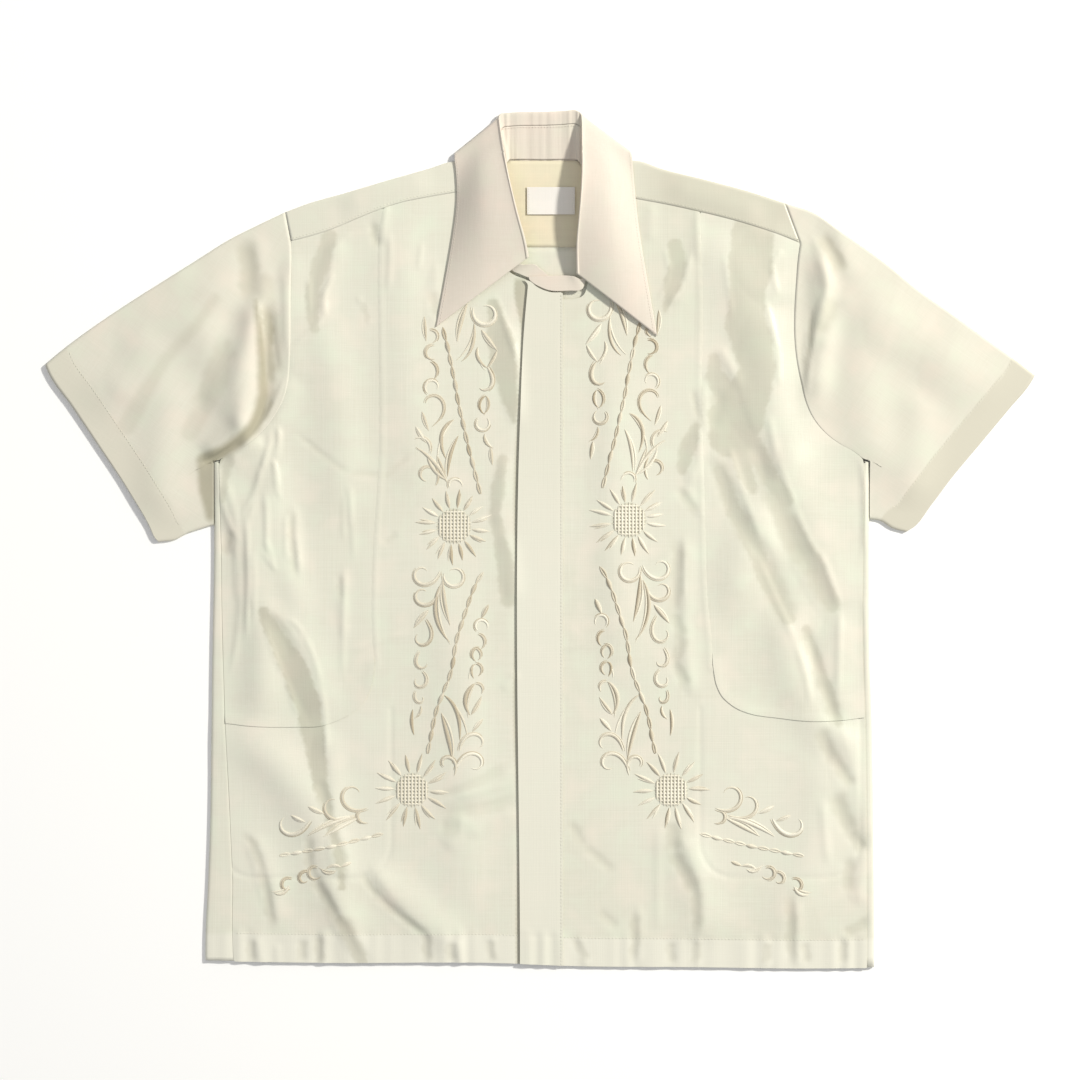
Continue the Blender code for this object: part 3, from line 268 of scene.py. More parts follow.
# Narrow troughs and ridges between them: from one (x, y) to the next, bow, half width, height, and how many
# times narrower the side at the left is
FURROWS = (
    (-241, 210, -239, 129, -1, 6, -4.2, 2.5), (-239, 133, -259, 87, 3, 6, -3.6, 2.5),
    (-259, 89, -299, 66, 2, 6, -3.2, 2.5), (-236, 200, -231, 147, -1, 2.6, -1.2, 1),
    (-252, 200, -251, 118, -1, 9, 2.2, 1), (-257, 105, -295, 77, 2, 9, 2, 1),
    (-259, 263, -255, 210, 1, 8, -2.2, 1), (-275, 174, -301, 112, 2, 9, -1.6, 1),
    (-261, 171, -280, 106, 2, 7, 1, 1), (-224, 235, -223, 166, 0, 3.5, 1.6, 1),
    (-224, 145, -262, 81, 5, 2.4, 1.2, 1), (-204, 231, -202, 199, 0, 2, 0.8, 1),
    (-182, 235, -191, 210, 0, 2, 0.9, 1), (-189, 210, -189, 197, 0, 2, 0.9, 1),
    (-189, 197, -216, 171, 1, 2, 0.9, 1), (-166, 268, -180, 257, -2, 2, 0.8, 1),
    (-148, 279, -143, 257, 0, 3.5, -1.2, 1), (-158, 209, -150, 191, 0, 2.4, -0.9, 1),
    (-132, 268, -134, 217, 1, 2.6, 0.9, 1), (-104, 260, -107, 238, 0, 2.2, 0.8, 1),
    (-94, 218, -92, 194, 0, 4, -1.2, 1), (-230, 99, -236, 71, 2, 2, 1.2, 1), (-236, 71, -231, 45, 2, 2, 1.2, 1),
    (-236, 89, -246, 62, 1, 2.2, 1.2, 1), (-246, 64, -260, 24, 2, 2.4, 1.4, 1),
    (-260, 26, -260, -89, 3, 2.4, 1.3, 1), (-240, 38, -242, -11, 1, 2.2, 1, 1),
    (-268, -1, -267, -54, 0, 2.2, 1, 1), (-251, -16, -252, -76, 1, 2.2, 1.1, 1),
    (-241, -1, -234, -26, 1, 2.2, 0.9, 1), (-283, 64, -282, 41, 0, 2.2, 1, 1),
    (-282, 43, -266, -1, -2, 2.4, 1.2, 1), (-273, 8, -278, -15, 0, 4, -1.4, 1),
    (-219, 26, -215, -34, -1, 3, -1.2, 1), (-224, 21, -224, -18, 0, 1.8, 0.9, 1),
    (-216, 11, -211, -32, 0, 1.8, 0.9, 1), (-166, 47, -167, 11, 0, 2.2, 0.7, 1),
    (-172, 40, -173, -1, 0, 2.2, 0.7, 1), (-172, -26, -174, -122, 0, 2.4, 0.9, 1),
    (-177, -32, -175, -54, 0, 2.4, -0.8, 1), (-214, 93, -167, 57, -1, 2.6, -0.6, 1),
    (-167, 57, -143, 57, 1, 2.4, -0.6, 1), (-140, 52, -116, 74, -1, 2.6, -0.6, 1),
    (-138, -4, -126, 5, 0, 3, -0.7, 1), (-170, -99, -113, -81, 0, 3, 0.6, 1),
    (-243, -64, -220, -106, 2, 8, -1.6, 1), (-195, -212, -185, -243, 0, 5, -2, 1),
    (-182, -256, -173, -290, 1, 4.5, -1.8, 1), (-173, -288, -175, -305, 0, 4, -1.2, 1),
    (-242, -73, -224, -122, -2, 2.2, 0.9, 1), (-224, -122, -213, -156, 0, 2.2, 0.9, 1),
    (-222, -70, -208, -85, 2, 2.2, 0.9, 1), (-208, -84, -193, -128, 2, 2.2, 1, 1),
    (-193, -128, -188, -192, 2, 2.2, 1, 1), (-202, -260, -199, -298, -3, 4, -1.5, 1),
    (-199, -297, -176, -337, 0, 4.5, -1.8, 1), (-176, -334, -157, -372, 1, 6, -2.4, 1),
    (-260, -260, -244, -293, 3, 3.6, -1.4, 1), (-244, -291, -235, -341, 0, 4, -1.5, 1),
    (-156, -293, -143, -315, -1, 3, -1.1, 1), (-144, -313, -99, -349, -1, 3.4, -1.4, 1),
    (-99, -348, -99, -372, 0, 4, -1.6, 1), (-40, 217, -20, 158, 0, 2.4, 1.2, 1),
    (-98, -229, -25, -198, -2, 4, -0.8, 1), (-92, -242, -20, -229, -2, 5, -0.9, 1),
    (-101, -235, -20, -214, 0, 3.5, 0.7, 1), (-33, -133, -20, -117, 0, 4, 0.9, 1),
    (-88, -253, -70, -254, 0, 6, -0.9, 1), (110, 255, 114, 235, 0, 2, 0.8, 1),
    (114, 235, 105, 212, 1, 2, 0.8, 1), (133, 253, 127, 227, 0, 2, 0.9, 1), (127, 227, 112, 205, 1, 2, 0.9, 1),
    (138, 288, 138, 244, 0, 5, 1, 1), (213, 254, 203, 242, 0, 2.2, 1, 1), (203, 243, 209, 215, 0, 2.2, 1, 1),
    (199, 209, 210, 162, 0, 2.4, 1.1, 1), (210, 165, 210, 136, 0, 2.4, 1, 1),
    (162, 250, 169, 194, 0, 2.4, 0.8, 1), (157, 170, 176, 133, 1, 5, 1.3, 1),
    (158, 131, 151, 96, 1, 6, -1.3, 1), (134, 131, 141, 103, 0, 2.4, -0.8, 1),
    (121, 45, 139, 23, 0, 4, -1.1, 1), (157, 71, 171, 23, -1, 7, -1.6, 1), (171, 26, 195, -18, 0, 8, -1.6, 1),
    (186, 86, 203, 47, 0, 7, -1.6, 1), (202, 48, 230, -18, 0, 9, -1.8, 1), (166, 81, 181, 35, 0, 3, 1, 1),
    (180, 36, 195, -2, 0, 3, 0.9, 1), (201, 108, 208, 71, 0, 3.4, 1.2, 1), (208, 73, 225, 27, 0, 3.4, 1.2, 1),
    (224, 29, 246, -18, -1, 3.4, 1.2, 1), (195, -17, 220, -73, 0, 9, -1.6, 1),
    (225, -6, 259, -66, 2, 8, -1.6, 1), (192, -17, 225, -92, 0, 3, 1, 1), (224, -91, 238, -146, 2, 3, 1.2, 1),
    (246, -11, 264, -61, 1, 3, 1.1, 1), (264, -60, 262, -136, 0, 3, 1.1, 1),
    (234, -80, 248, -125, 0, 5, -2.2, 1), (248, -123, 262, -163, 0, 5.5, -2.4, 1),
    (246, -166, 259, -198, 0, 6, -1.8, 1), (259, -194, 275, -217, 0, 5, -1.8, 1),
    (259, -224, 275, -260, 0, 7, -1.8, 1), (273, -258, 285, -274, 0, 5, -1.5, 1),
    (272, -281, 272, -312, 0, 5, -1.4, 1), (121, -1, 117, -68, 1, 5, -1.4, 1),
    (116, -66, 125, -87, 1, 5, -1.3, 1), (125, -85, 117, -110, 1, 5, -1.3, 1),
    (117, -108, 130, -129, 0, 4.5, -1.3, 1), (127, -1, 127, -54, 0, 2, 0.8, 1),
    (116, -249, 118, -275, 0, 6.5, -1.7, 1), (117, -274, 138, -312, 0, 6, -1.8, 1),
    (138, -309, 138, -346, 0, 4.5, -1.5, 1), (104, -249, 104, -348, 0, 4, 0.8, 1),
    (248, -229, 253, -286, 0, 4, 1.2, 1), (220, -312, 222, -374, 0, 4.5, -1.6, 1),
    (85, -329, 82, -372, 0, 4, -1.5, 1), (267, -348, 290, -336, 0, 5, -1.5, 1),
    (26, -249, 39, -270, 0, 4, -0.8, 1), (39, -270, 65, -293, 0, 4, -0.8, 1), (23, -99, 52, -84, 0, 3, 0.7, 1),
    (52, -327, 68, -342, 0, 4, -0.8, 1), (282, 70, 286, 43, 0, 2.2, 0.9, 1),
    (286, 48, 283, -18, 1, 2.2, 0.9, 1), (246, 247, 253, 221, 1, 4, 1.6, 1), (253, 223, 236, 165, 2, 4, 1.8, 1),
    (236, 166, 234, 127, 0, 3.4, 1.5, 1), (239, 200, 233, 143, 1, 2, -1.6, 1),
    (248, 268, 266, 235, 0, 6, -2.4, 1), (259, 211, 244, 179, 0, 6, -1.4, 1),
    (-255, -353, -253, -372, 0, 4, -1.2, 1), (-210, -353, -209, -372, 0, 4, -1.2, 1),
    (-194, -349, -194, -374, 0, 4, -1.6, 1), (-79, -355, -78, -372, 0, 4, -1.2, 1),
    (-44, -353, -43, -372, 0, 4, -1.2, 1), (31, -351, 40, -372, 0, 4, -1.3, 1),
    (115, -355, 116, -374, 0, 4, -1.2, 1), (137, -353, 137, -374, 0, 4, -1.2, 1),
    (199, -355, 200, -374, 0, 4, -1.2, 1), (233, -355, 234, -374, 0, 4, -1.2, 1),
    (267, -353, 267, -374, 0, 4, -1.2, 1),
)
# Painted shade over broad folds and troughs, and under a sleeve's overhanging fold: strength, then (x, y) and
# half width along each patch
SHADE_PATCHES = (
    (0.27, ((187, 270, 18), (185, 237, 20), (182, 215, 15), (181, 188, 18), (187, 171, 18), (192, 149, 15),
            (183, 127, 19), (172, 105, 25), (170, 93, 22))),
    (0.24, ((172, 87, 9), (180, 61, 8), (187, 43, 4))),
    (0.24, ((187, 83, 9), (198, 61, 8), (216, 34, 7))),
    (0.26, ((119, 259, 6), (121, 241, 8), (116, 221, 7), (110, 202, 2))),
    (0.26, ((137, 99, 4), (129, 77, 8), (125, 61, 4))),
    (0.24, ((153, 158, 5), (154, 144, 8), (163, 129, 11))),
    (0.36, ((-243, -64, 5), (-231, -89, 8), (-220, -106, 11), (-211, -128, 12), (-204, -146, 11),
            (-200, -172, 10), (-196, -194, 8), (-193, -216, 7), (-187, -234, 4), (-182, -256, 4),
            (-176, -282, 4), (-174, -305, 3))),
    (0.26, ((-33, 71, 4), (-37, 43, 6), (-40, 21, 5), (-35, -1, 6), (-30, -27, 8), (-28, -54, 7))),
    (0.34, ((-41, 206, 5), (-35, 175, 12), (-31, 149, 11), (-26, 122, 7), (-23, 105, 3))),
    (0.24, ((-185, 267, 6), (-192, 244, 8), (-200, 219, 6), (-200, 197, 6), (-198, 184, 3))),
    (0.7, ((-250, 210, 1), (-246, 184, 3), (-244, 158, 4), (-243, 128, 5), (-246, 112, 5), (-252, 98, 5),
            (-264, 86, 5), (-277, 78, 5), (-292, 70, 7))),
    (0.62, ((-294, 68, 8), (-293, 43, 7), (-290, 20, 4))),
    (0.18, ((-243, 226, 8), (-239, 184, 9), (-234, 153, 7))),
    (0.26, ((234, -80, 4), (241, -102, 5), (252, -133, 6), (262, -161, 4))),
    (0.24, ((158, 61, 5), (171, 24, 7), (185, -1, 7), (202, -40, 8), (218, -70, 6))),
    (0.24, ((220, 17, 5), (239, -18, 8), (257, -58, 7))),
    (0.30, ((-176, -334, 4), (-165, -353, 5), (-157, -372, 5))),
    (0.22, ((-268, 87, 5), (-276, 61, 4), (-280, 34, 3))),
    (0.15, ((-285, 212, 4), (-303, 186, 5), (-329, 158, 5), (-350, 124, 7), (-363, 100, 8))),
    (0.15, ((-275, 171, 4), (-280, 140, 7), (-297, 114, 8), (-308, 94, 8))),
)

# Embroidery, the same on both fronts, mirrored: distance out from the middle and y
MIRROR_X, MIRROR_LIFT = 1.3, 5.3
# Strokes: out, y, heading (0 is outwards, 90 is up), length, bend, curl, width
FRONDS = (
    (103, 196, -94, 22, 0, 0.0, 2.0), (102, 119, 93, 46, 229, -0.9, 2.2), (105, 112, -110, 18, 0, 0.0, 2.2),
    (111, 99, -124, 17, 0, 0.0, 2.6), (83, 50, 68, 42, -34, 0.2, 3.0), (84, 52, 26, 30, 56, 0.1, 2.8),
    (99, 76, 118, 24, -150, 0.1, 2.2), (94, 66, -120, 20, 60, 0.2, 2.2), (92, 74, -113, 22, 0, 0.0, 1.8),
    (97, 62, 40, 22, -204, -0.1, 2.2), (77, 105, -20, 40, -98, -0.6, 3.2), (73, 91, -59, 38, -29, -0.6, 2.8),
    (81, 45, 57, 21, 206, -0.3, 2.0), (65, 207, -67, 35, -14, -0.3, 3.2), (60, 190, -96, 37, 60, 0.7, 2.6),
    (60, 204, -74, 50, -308, 0.3, 3.6), (53, 184, -124, 23, -5, -0.1, 3.4), (56, 169, -63, 22, -84, -0.5, 2.6),
    (39, 166, -70, 18, 19, -0.2, 2.4), (48, 151, -126, 30, 173, 0.9, 3.4), (49, 126, -18, 20, -126, -0.1, 2.0),
    (49, 126, -132, 18, 95, -0.1, 2.0), (55, 106, -36, 28, -283, -0.1, 2.2), (50, 93, -72, 16, -94, 0.0, 2.2),
    (45, 81, -96, 16, 0, 0.0, 2.6), (99, 183, -202, 17, 180, -0.2, 2.0), (94, 170, 17, 23, -215, 0.0, 2.2),
    (98, 156, -169, 20, 125, -0.2, 2.2), (100, 128, 36, 27, 265, 0.2, 2.2), (89, -28, -69, 49, 313, 0.7, 2.8),
    (86, -30, -77, 46, -327, 0.2, 2.6), (90, -43, -78, 47, 305, 0.8, 2.8), (87, -36, -91, 41, -13, 0.1, 3.0),
    (89, -40, -61, 55, -73, 0.0, 3.0), (99, -62, -49, 21, 0, 0.0, 3.4), (102, -71, -125, 41, 267, 0.9, 2.4),
    (107, -99, -53, 25, -218, 0.9, 2.4), (105, -117, -145, 28, 278, 0.5, 2.4),
    (110, -134, -66, 19, -251, 0.9, 2.0), (106, -147, -108, 13, 84, 0.0, 2.0),
    (113, -150, -75, 23, -31, 0.0, 2.6), (47, -57, -66, 14, 0, 0.0, 3.4), (56, -80, 38, 24, 257, -0.1, 2.2),
    (56, -84, -177, 17, 140, -0.2, 2.2), (55, -96, 22, 17, -167, -0.4, 2.2), (59, -96, -172, 14, 137, 0.1, 2.0),
    (58, -110, -11, 15, -109, -0.9, 2.2), (58, -110, -191, 15, 155, -0.4, 2.0),
    (58, -127, -29, 32, -98, -0.1, 3.6), (58, -127, -201, 13, 144, -0.2, 2.0), (62, -155, 126, 19, 0, 0.0, 2.8),
    (51, -158, -49, 15, 0, 0.0, 2.8), (72, -187, 99, 39, 229, 0.8, 2.8), (76, -204, 108, 48, 290, 0.9, 2.8),
    (86, -138, -149, 44, 61, -0.9, 3.0), (88, -152, -108, 46, 9, 0.6, 3.0), (86, -200, 34, 32, 256, -0.9, 2.6),
    (153, -237, -26, 51, 276, 0.6, 2.6), (164, -243, -23, 46, 225, 0.9, 2.6), (205, -235, -156, 16, 0, 0.0, 3.2),
    (220, -243, -158, 14, 0, 0.0, 2.8), (203, -247, -62, 44, 210, 0.9, 3.2), (164, -244, -9, 45, -25, -0.2, 3.2),
    (161, -245, -27, 35, -2, 0.0, 3.0), (157, -240, 9, 20, -200, -0.5, 2.4), (167, -284, -22, 10, 0, 0.0, 2.6),
    (176, -288, 35, 15, -85, 0.0, 2.2), (180, -291, -45, 16, 111, 0.1, 2.2), (197, -290, 35, 25, -267, -0.2, 2.4),
    (204, -294, 29, 22, -260, 0.4, 2.2), (220, -300, 38, 22, -250, 0.1, 2.2), (222, -305, -72, 17, 106, 0.4, 2.8),
)
BEADS = (
    (((86.9, 186.6), (78.5, 150.9), (73.9, 125.1), (64.9, 84.2), (53.5, 39.6)), 13, 3.6),
    (((51.0, -29.0), (57.9, -40.1), (65.6, -61.2), (73.5, -85.1), (80.5, -120.8), (90.9, -146.8),
      (100.1, -188.8)), 15, 3.6),
    (((139.0, -259.5), (185, -270.5), (230.7, -278.9)), 9, 3.4),
)
# Sunflowers: out, y, radius of the disc, petals, petal length, turn
SUNFLOWERS = (
    (77.0, 11.4, 15.0, 16, 17.0, 10),
    (114.0, -220.9, 14.5, 14, 18.0, 4),
)


def smooth(t):
    """0 below 0, 1 above 1, and a soft ramp between."""
    t = np.clip(t, 0.0, 1.0)
    return t * t * (3 - 2 * t)


def curve(points, step=2.0):
    """A smooth line through points, as closely spaced points."""
    p = np.array(points, float)
    h = np.linalg.norm(np.diff(p, axis=0), axis=1)[:, None]
    slope = np.diff(p, axis=0) / h
    inner = (slope[:-1] * h[1:] + slope[1:] * h[:-1]) / (h[1:] + h[:-1])
    tangent = np.vstack([slope[:1], inner, slope[-1:]])
    out = []
    for k in range(len(h)):
        n = max(1, int(round(h[k, 0] / step)))
        f = (np.arange(n) / n)[:, None]
        out.append((2 * f ** 3 - 3 * f ** 2 + 1) * p[k] + (f ** 3 - 2 * f ** 2 + f) * h[k] * tangent[k]
                   + (3 * f ** 2 - 2 * f ** 3) * p[k + 1] + (f ** 3 - f ** 2) * h[k] * tangent[k + 1])
    return np.vstack(out + [p[-1:]])


def lengths(line):
    """How far along a line each of its points lies."""
    return np.concatenate([[0], np.cumsum(np.linalg.norm(np.diff(line, axis=0), axis=1))])


def resample(line, step):
    """The same line with points a step apart."""
    run = lengths(line)
    at = np.linspace(0, run[-1], max(2, int(round(run[-1] / step)) + 1))
    return np.stack([np.interp(at, run, line[:, k]) for k in range(line.shape[1])], axis=1)


def along(line, t):
    """Points at shares t of a line's length."""
    run = lengths(line)
    return np.stack([np.interp(np.asarray(t) * run[-1], run, line[:, k]) for k in range(2)], axis=-1)


def x_at(line, y):
    order = np.argsort(line[:, 1])
    return np.interp(y, line[order, 1], line[order, 0])


def y_at(line, x):
    order = np.argsort(line[:, 0])
    return np.interp(x, line[order, 0], line[order, 1])


def hem_y(x):
    """Where the foot's edge lies at x."""
    return np.interp(x, hem[:, 0], hem[:, 1])


def tree_of(line):
    """A search tree over a line's points, seen from above."""
    tree = kdtree.KDTree(len(line))
    for k, point in enumerate(line):
        tree.insert((point[0], point[1], 0), k)
    tree.balance()
    return tree


def beside(line, gap):
    """The line a gap to its left."""
    ahead = np.gradient(line, axis=0)
    ahead /= np.linalg.norm(ahead, axis=1)[:, None]
    return line + np.column_stack([-ahead[:, 1], ahead[:, 0]]) * gap


def sign(side):
    return -1 if side == "left" else 1


def both(lines):
    """A smooth line for each side."""
    return {side: curve(line) for side, line in lines.items()}


hem = curve(HEM)
side_fold = both(SIDE_FOLD)
side_inset = {side: np.array(line, float) for side, line in SIDE_SEAM_INSET.items()}
armhole = both(ARMHOLE)
yoke_front = both(YOKE_FRONT)
shoulder = both(SHOULDER)
pocket_seam = both(POCKET_SEAM)
mouth = both(POCKET_MOUTH)
neckline = both(NECKLINE)
sleeve_top = both(SLEEVE_TOP)
cuff = both(SLEEVE_CUFF)
sleeve_low = both(SLEEVE_LOW)
placket_left = curve(PLACKET_LEFT)
shoulder_end = {side: np.linspace(sleeve_top[side][0], ARMHOLE[side][0], 20) for side in sleeve_top}
placket_top = curve(PLACKET_TOP)


SLOTS = {"sleeve_left": "sleeve_cloth", "sleeve_right": "sleeve_cloth", "collar_leaf": "collar_cloth",
         "collar_stand": "collar_cloth", "label": "label_cloth"}


# Heights

def strip(x, y, x0, y0, x1, y1, bow):
    """Share along a bowed line, and distance across it."""
    dx, dy = x1 - x0, y1 - y0
    length = math.hypot(dx, dy)
    t = ((x - x0) * dx + (y - y0) * dy) / length ** 2
    return t, ((x - x0) * -dy + (y - y0) * dx) / length - 4 * bow * t * (1 - t)


def off_collar(x, y, start, ramp):
    """0 under the collar, 1 away from it."""
    return smooth((np.hypot((x - COLLAR_CENTRE[0]) / COLLAR_BROAD, y - COLLAR_CENTRE[1]) - start) / ramp)


def rise(x, y):
    """How far the solids' folds lift the top layer."""
    total = np.zeros_like(x)
    for *line, half_width, height in FOLDS:
        t, across = strip(x, y, *line)
        ends = smooth((t + 0.12) / 0.3) * smooth((1.12 - t) / 0.3)
        total += height * ends * np.exp(-(across / half_width) ** 2)
    centre = smooth((abs(x - 2) - 24) / 40)
    collar = off_collar(x, y, 70, 40)
    return total * centre * collar


def creased(x, y):
    """How far the fine creases lift it: each has a straight flank in shade and a soft one in the light."""
    total = np.zeros_like(x)
    for *line, straight, soft, height in CREASES:
        t, across = strip(x, y, *line)
        across = across if straight > 0 else -across
        blade = abs(straight) * (0.3 + 0.7 * np.sin(math.pi * np.clip(t, 0, 1)) ** 0.7)
        flank = np.where(across < 0, np.clip(1 + across / blade, 0, 1), np.exp(-(across / soft) ** 2))
        total += height * smooth((t + 0.06) / 0.26) * smooth((1.06 - t) / 0.26) * flank
    collar = off_collar(x, y, 52, 30)
    return total * collar


def furrows(x, y, painted_shade=False):
    """How far the narrow troughs and ridges move it, or only the painted shade in their troughs."""
    total = np.zeros_like(x)
    for *line, wide, height, sharper in FURROWS:
        t, across = strip(x, y, *line)
        if painted_shade and height > 0:
            continue
        if painted_shade:
            across = across + 0.9 * np.sin(y * 0.21 + line[0]) + 0.6 * np.sin(y * 0.57)
        share = abs(across / np.where(across < 0, wide / sharper, wide))
        row = height * smooth((t + 0.08) / 0.3) * smooth((1.08 - t) / 0.3)
        total += -row * np.exp(-(share * 0.9) ** 5) if painted_shade else row * np.exp(-share ** 2)
    return total * off_collar(x, y, 52, 30)


def shade_patches(x, y):
    """Painted shade over broad folds, with a ragged border."""
    total = np.zeros_like(x)
    wander = 0.9 * np.sin(y * 0.23 + x * 0.05) + 0.7 * np.sin(y * 0.61 - x * 0.11) + 0.4 * np.sin(y * 1.3)
    for strength, rows in SHADE_PATCHES:
        line = resample(np.array(rows, float), 2.0)
        tree = tree_of(line)
        lo, hi = line[:, :2].min(0) - 26, line[:, :2].max(0) + 26
        near = np.where((x > lo[0]) & (x < hi[0]) & (y > lo[1]) & (y < hi[1]))[0]
        found = [tree.find((x[k], y[k], 0)) for k in near]
        inside = np.array([line[index][2] - far for _, index, far in found])
        border, ragged = (3.0, 0.65) if 0.2 < strength < 0.5 else (7.0, 0.2)
        if len(near):
            total[near] = np.maximum(total[near], strength * smooth((inside + ragged * wander[near]) / border + 0.5))
    return total


def painted_shade(x, y):
    """Painted shade: darker in the narrow troughs and over the broad shade patches."""
    return np.clip(np.maximum(0.12 * furrows(x, y, True), shade_patches(x, y)), 0, 1)


def over_pouch(x, y):
    """Where a pocket bag lies between the layers."""
    total = np.zeros_like(x)
    for side, inner in POUCH_INNER_X.items():
        x0, x1 = sorted((inner, sign(side) * POUCH_OUTER_X))
        total += smooth((x - x0) / 1.5) * smooth((x1 - x) / 1.5) * smooth((y - POUCH_BOTTOM_Y) / 1.5) * (
            y < POUCH_TOP_Y + 8)
    return total


def puckers(x, y):
    """Short upright puckers in the turned hem and just above it."""
    foot = y - hem_y(x)
    wave = np.sin(x * 0.33 + 1.7 * np.sin(x * 0.093)) * (0.6 + 0.4 * np.sin(x * 0.071 + 1))
    return 0.45 * wave * smooth((34 - foot) / 12)


def distance(x, y, line):
    """How far points lie from a line, up to 40 mm."""
    tree = tree_of(line)
    out = np.full(x.shape, 40.0)
    lo, hi = line.min(0) - 40, line.max(0) + 40
    near = (x > lo[0]) & (x < hi[0]) & (y > lo[1]) & (y < hi[1])
    out[near] = [tree.find((a, b, 0))[2] for a, b in zip(x[near], y[near])]
    return out


def skin(x, y):
    """The outer surface of the top layer."""
    height = FRONT_BASE + CLOTH + rise(x, y) + 0.55 * creased(x, y) + 0.65 * furrows(x, y) + puckers(x, y)
    low = 2.2 + over_pouch(x, y)
    return np.where(height < low + 0.6, low + 0.6 * np.exp((height - low - 0.6) / 0.6), height)


def leaf_room(x, y):
    return LEAF_LIFT * smooth((y - 296) / 22) * smooth((84 - abs(x - 3)) / 30 + 0.5)


# Meshes

def add_object(name, data):
    """A new object in the scene."""
    thing = bpy.data.objects.new(name, data)
    bpy.context.scene.collection.objects.link(thing)
    return thing


def make(name, verts, faces, node, material, uv=None, masks=None):
    """A piece from its points in millimetres."""
    mesh = bpy.data.meshes.new(name)
    mesh.from_pydata((np.asarray(verts) * MM).tolist(), [], faces)
    for key, values in (masks or {}).items():
        mesh.attributes.new(key, "FLOAT", "POINT").data.foreach_set("value", np.asarray(values, float))
    mesh.shade_smooth()
    mesh.set_sharp_from_angle(angle=math.radians(50))
    mesh.materials.append(material)
    mesh.update()
    piece = add_object(name, mesh)
    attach(piece, "root")
    if node:
        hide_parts(node)
        SLOTS.get(node, "body_cloth")
    return piece


def rim(faces):
    """The directed edges round a surface's border."""
    seen = set()
    for face in faces:
        for a, b in zip(face, face[1:] + face[:1]):
            seen.add((a, b))
    return [(a, b) for a, b in seen if (b, a) not in seen]


def walled(verts, faces, wall):
    """The same surface with an underside a wall below it, closed round its border."""
    count = len(verts)
    under = np.array(verts)
    under[:, 2] -= wall
    out = list(faces) + [tuple(count + k for k in reversed(face)) for face in faces]
    out += [(a, a + count, b + count, b) for a, b in rim(faces)]
    return np.vstack([verts, under]), out


def laid(border, step):
    """Points and triangles that fill a border seen from above."""
    border = resample(np.vstack([border, border[:1]]), step)[:-1]
    lo, hi = border.min(0), border.max(0)
    after = np.roll(border, -1, axis=0)
    rows = np.arange(lo[1] + step * 0.4, hi[1], step * 0.866)
    inner = []
    for k, y in enumerate(rows):
        cross = (border[:, 1] > y) != (after[:, 1] > y)
        a, b = border[cross], after[cross]
        xs = np.sort(a[:, 0] + (y - a[:, 1]) / (b[:, 1] - a[:, 1]) * (b[:, 0] - a[:, 0]))
        for start, end in zip(xs[::2], xs[1::2]):
            line = np.arange(math.floor(start / step) * step + (step / 2 if k % 2 else 0), end, step)
            inner += [(x, y) for x in line if start < x < end]
    tree = tree_of(border)
    inner = [p for p in inner if tree.find((p[0], p[1], 0))[2] > step * 0.6]
    points = [Vector(p) for p in border] + [Vector(p) for p in inner]
    plan, _, faces, *_ = delaunay_2d_cdt(points, [], [list(range(len(border)))], 1, 1e-4)
    plan = np.array([tuple(p) for p in plan])
    out = []
    for face in faces:
        a, b, c = plan[face[0]], plan[face[1]], plan[face[2]]
        turn = (b[0] - a[0]) * (c[1] - a[1]) - (b[1] - a[1]) * (c[0] - a[0])
        out.append(tuple(face) if turn > 0 else tuple(reversed(face)))
    return plan, out


def panel(name, node, border, height, material, step=FINE, wall=WALL, masks=None):
    """A piece that lies as one sheet: height gives its outer surface."""
    plan, faces = laid(border, step)
    x, y = plan[:, 0], plan[:, 1]
    verts = np.column_stack([x, y, height(x, y)])
    values = {key: np.tile(mask(x, y), 2) for key, mask in (masks or {}).items()}
    verts, faces = walled(verts, faces, wall)
    return make(name, verts, faces, node, material, masks=values)


def grid(nu, nv, closed=False):
    """Faces of a grid of points, nu across by nv along, point (i, j) at index i * nv + j."""
    span = nu if closed else nu - 1
    return [(i * nv + j, (i + 1) % nu * nv + j, (i + 1) % nu * nv + j + 1, i * nv + j + 1)
            for i in range(span) for j in range(nv - 1)]


def thicken(piece, wall, offset=-1):
    """A wall under a surface, or half to each side of it with offset 0."""
    solid = piece.modifiers.new("wall", "SOLIDIFY")
    solid.thickness = wall * MM
    solid.offset = offset
    solid.use_even_offset = False


# Finishes

def group(name, inputs, outputs):
    """An empty shader group with named sockets."""
    tree = bpy.data.node_groups.new(name, "ShaderNodeTree")
    for label, value in inputs.items():
        kind = "NodeSocketColor" if isinstance(value, tuple) else "NodeSocketFloat"
        socket = tree.interface.new_socket(label, in_out="INPUT", socket_type=kind)
        socket.default_value = value
    for label, kind in outputs.items():
        tree.interface.new_socket(label, in_out="OUTPUT", socket_type=kind)
    return tree, tree.nodes.new("NodeGroupInput"), tree.nodes.new("NodeGroupOutput")


def math_node(tree, operation, a, b=None, clamp=False):
    """A Math node fed by sockets or numbers."""
    node = tree.nodes.new("ShaderNodeMath")
    node.operation = operation
    node.use_clamp = clamp
    for k, value in enumerate((a, b)):
        if hasattr(value, "links"):
            tree.links.new(value, node.inputs[k])
        elif value is not None:
            node.inputs[k].default_value = value
    return node.outputs[0]


def mixed(tree, factor, a, b):
    """A colour between a and b."""
    node = tree.nodes.new("ShaderNodeMix")
    node.data_type = "RGBA"
    for socket, value in ((node.inputs["Factor"], factor), (node.inputs[6], a), (node.inputs[7], b)):
        if hasattr(value, "links"):
            tree.links.new(value, socket)
        else:
            socket.default_value = value
    return node.outputs[2]


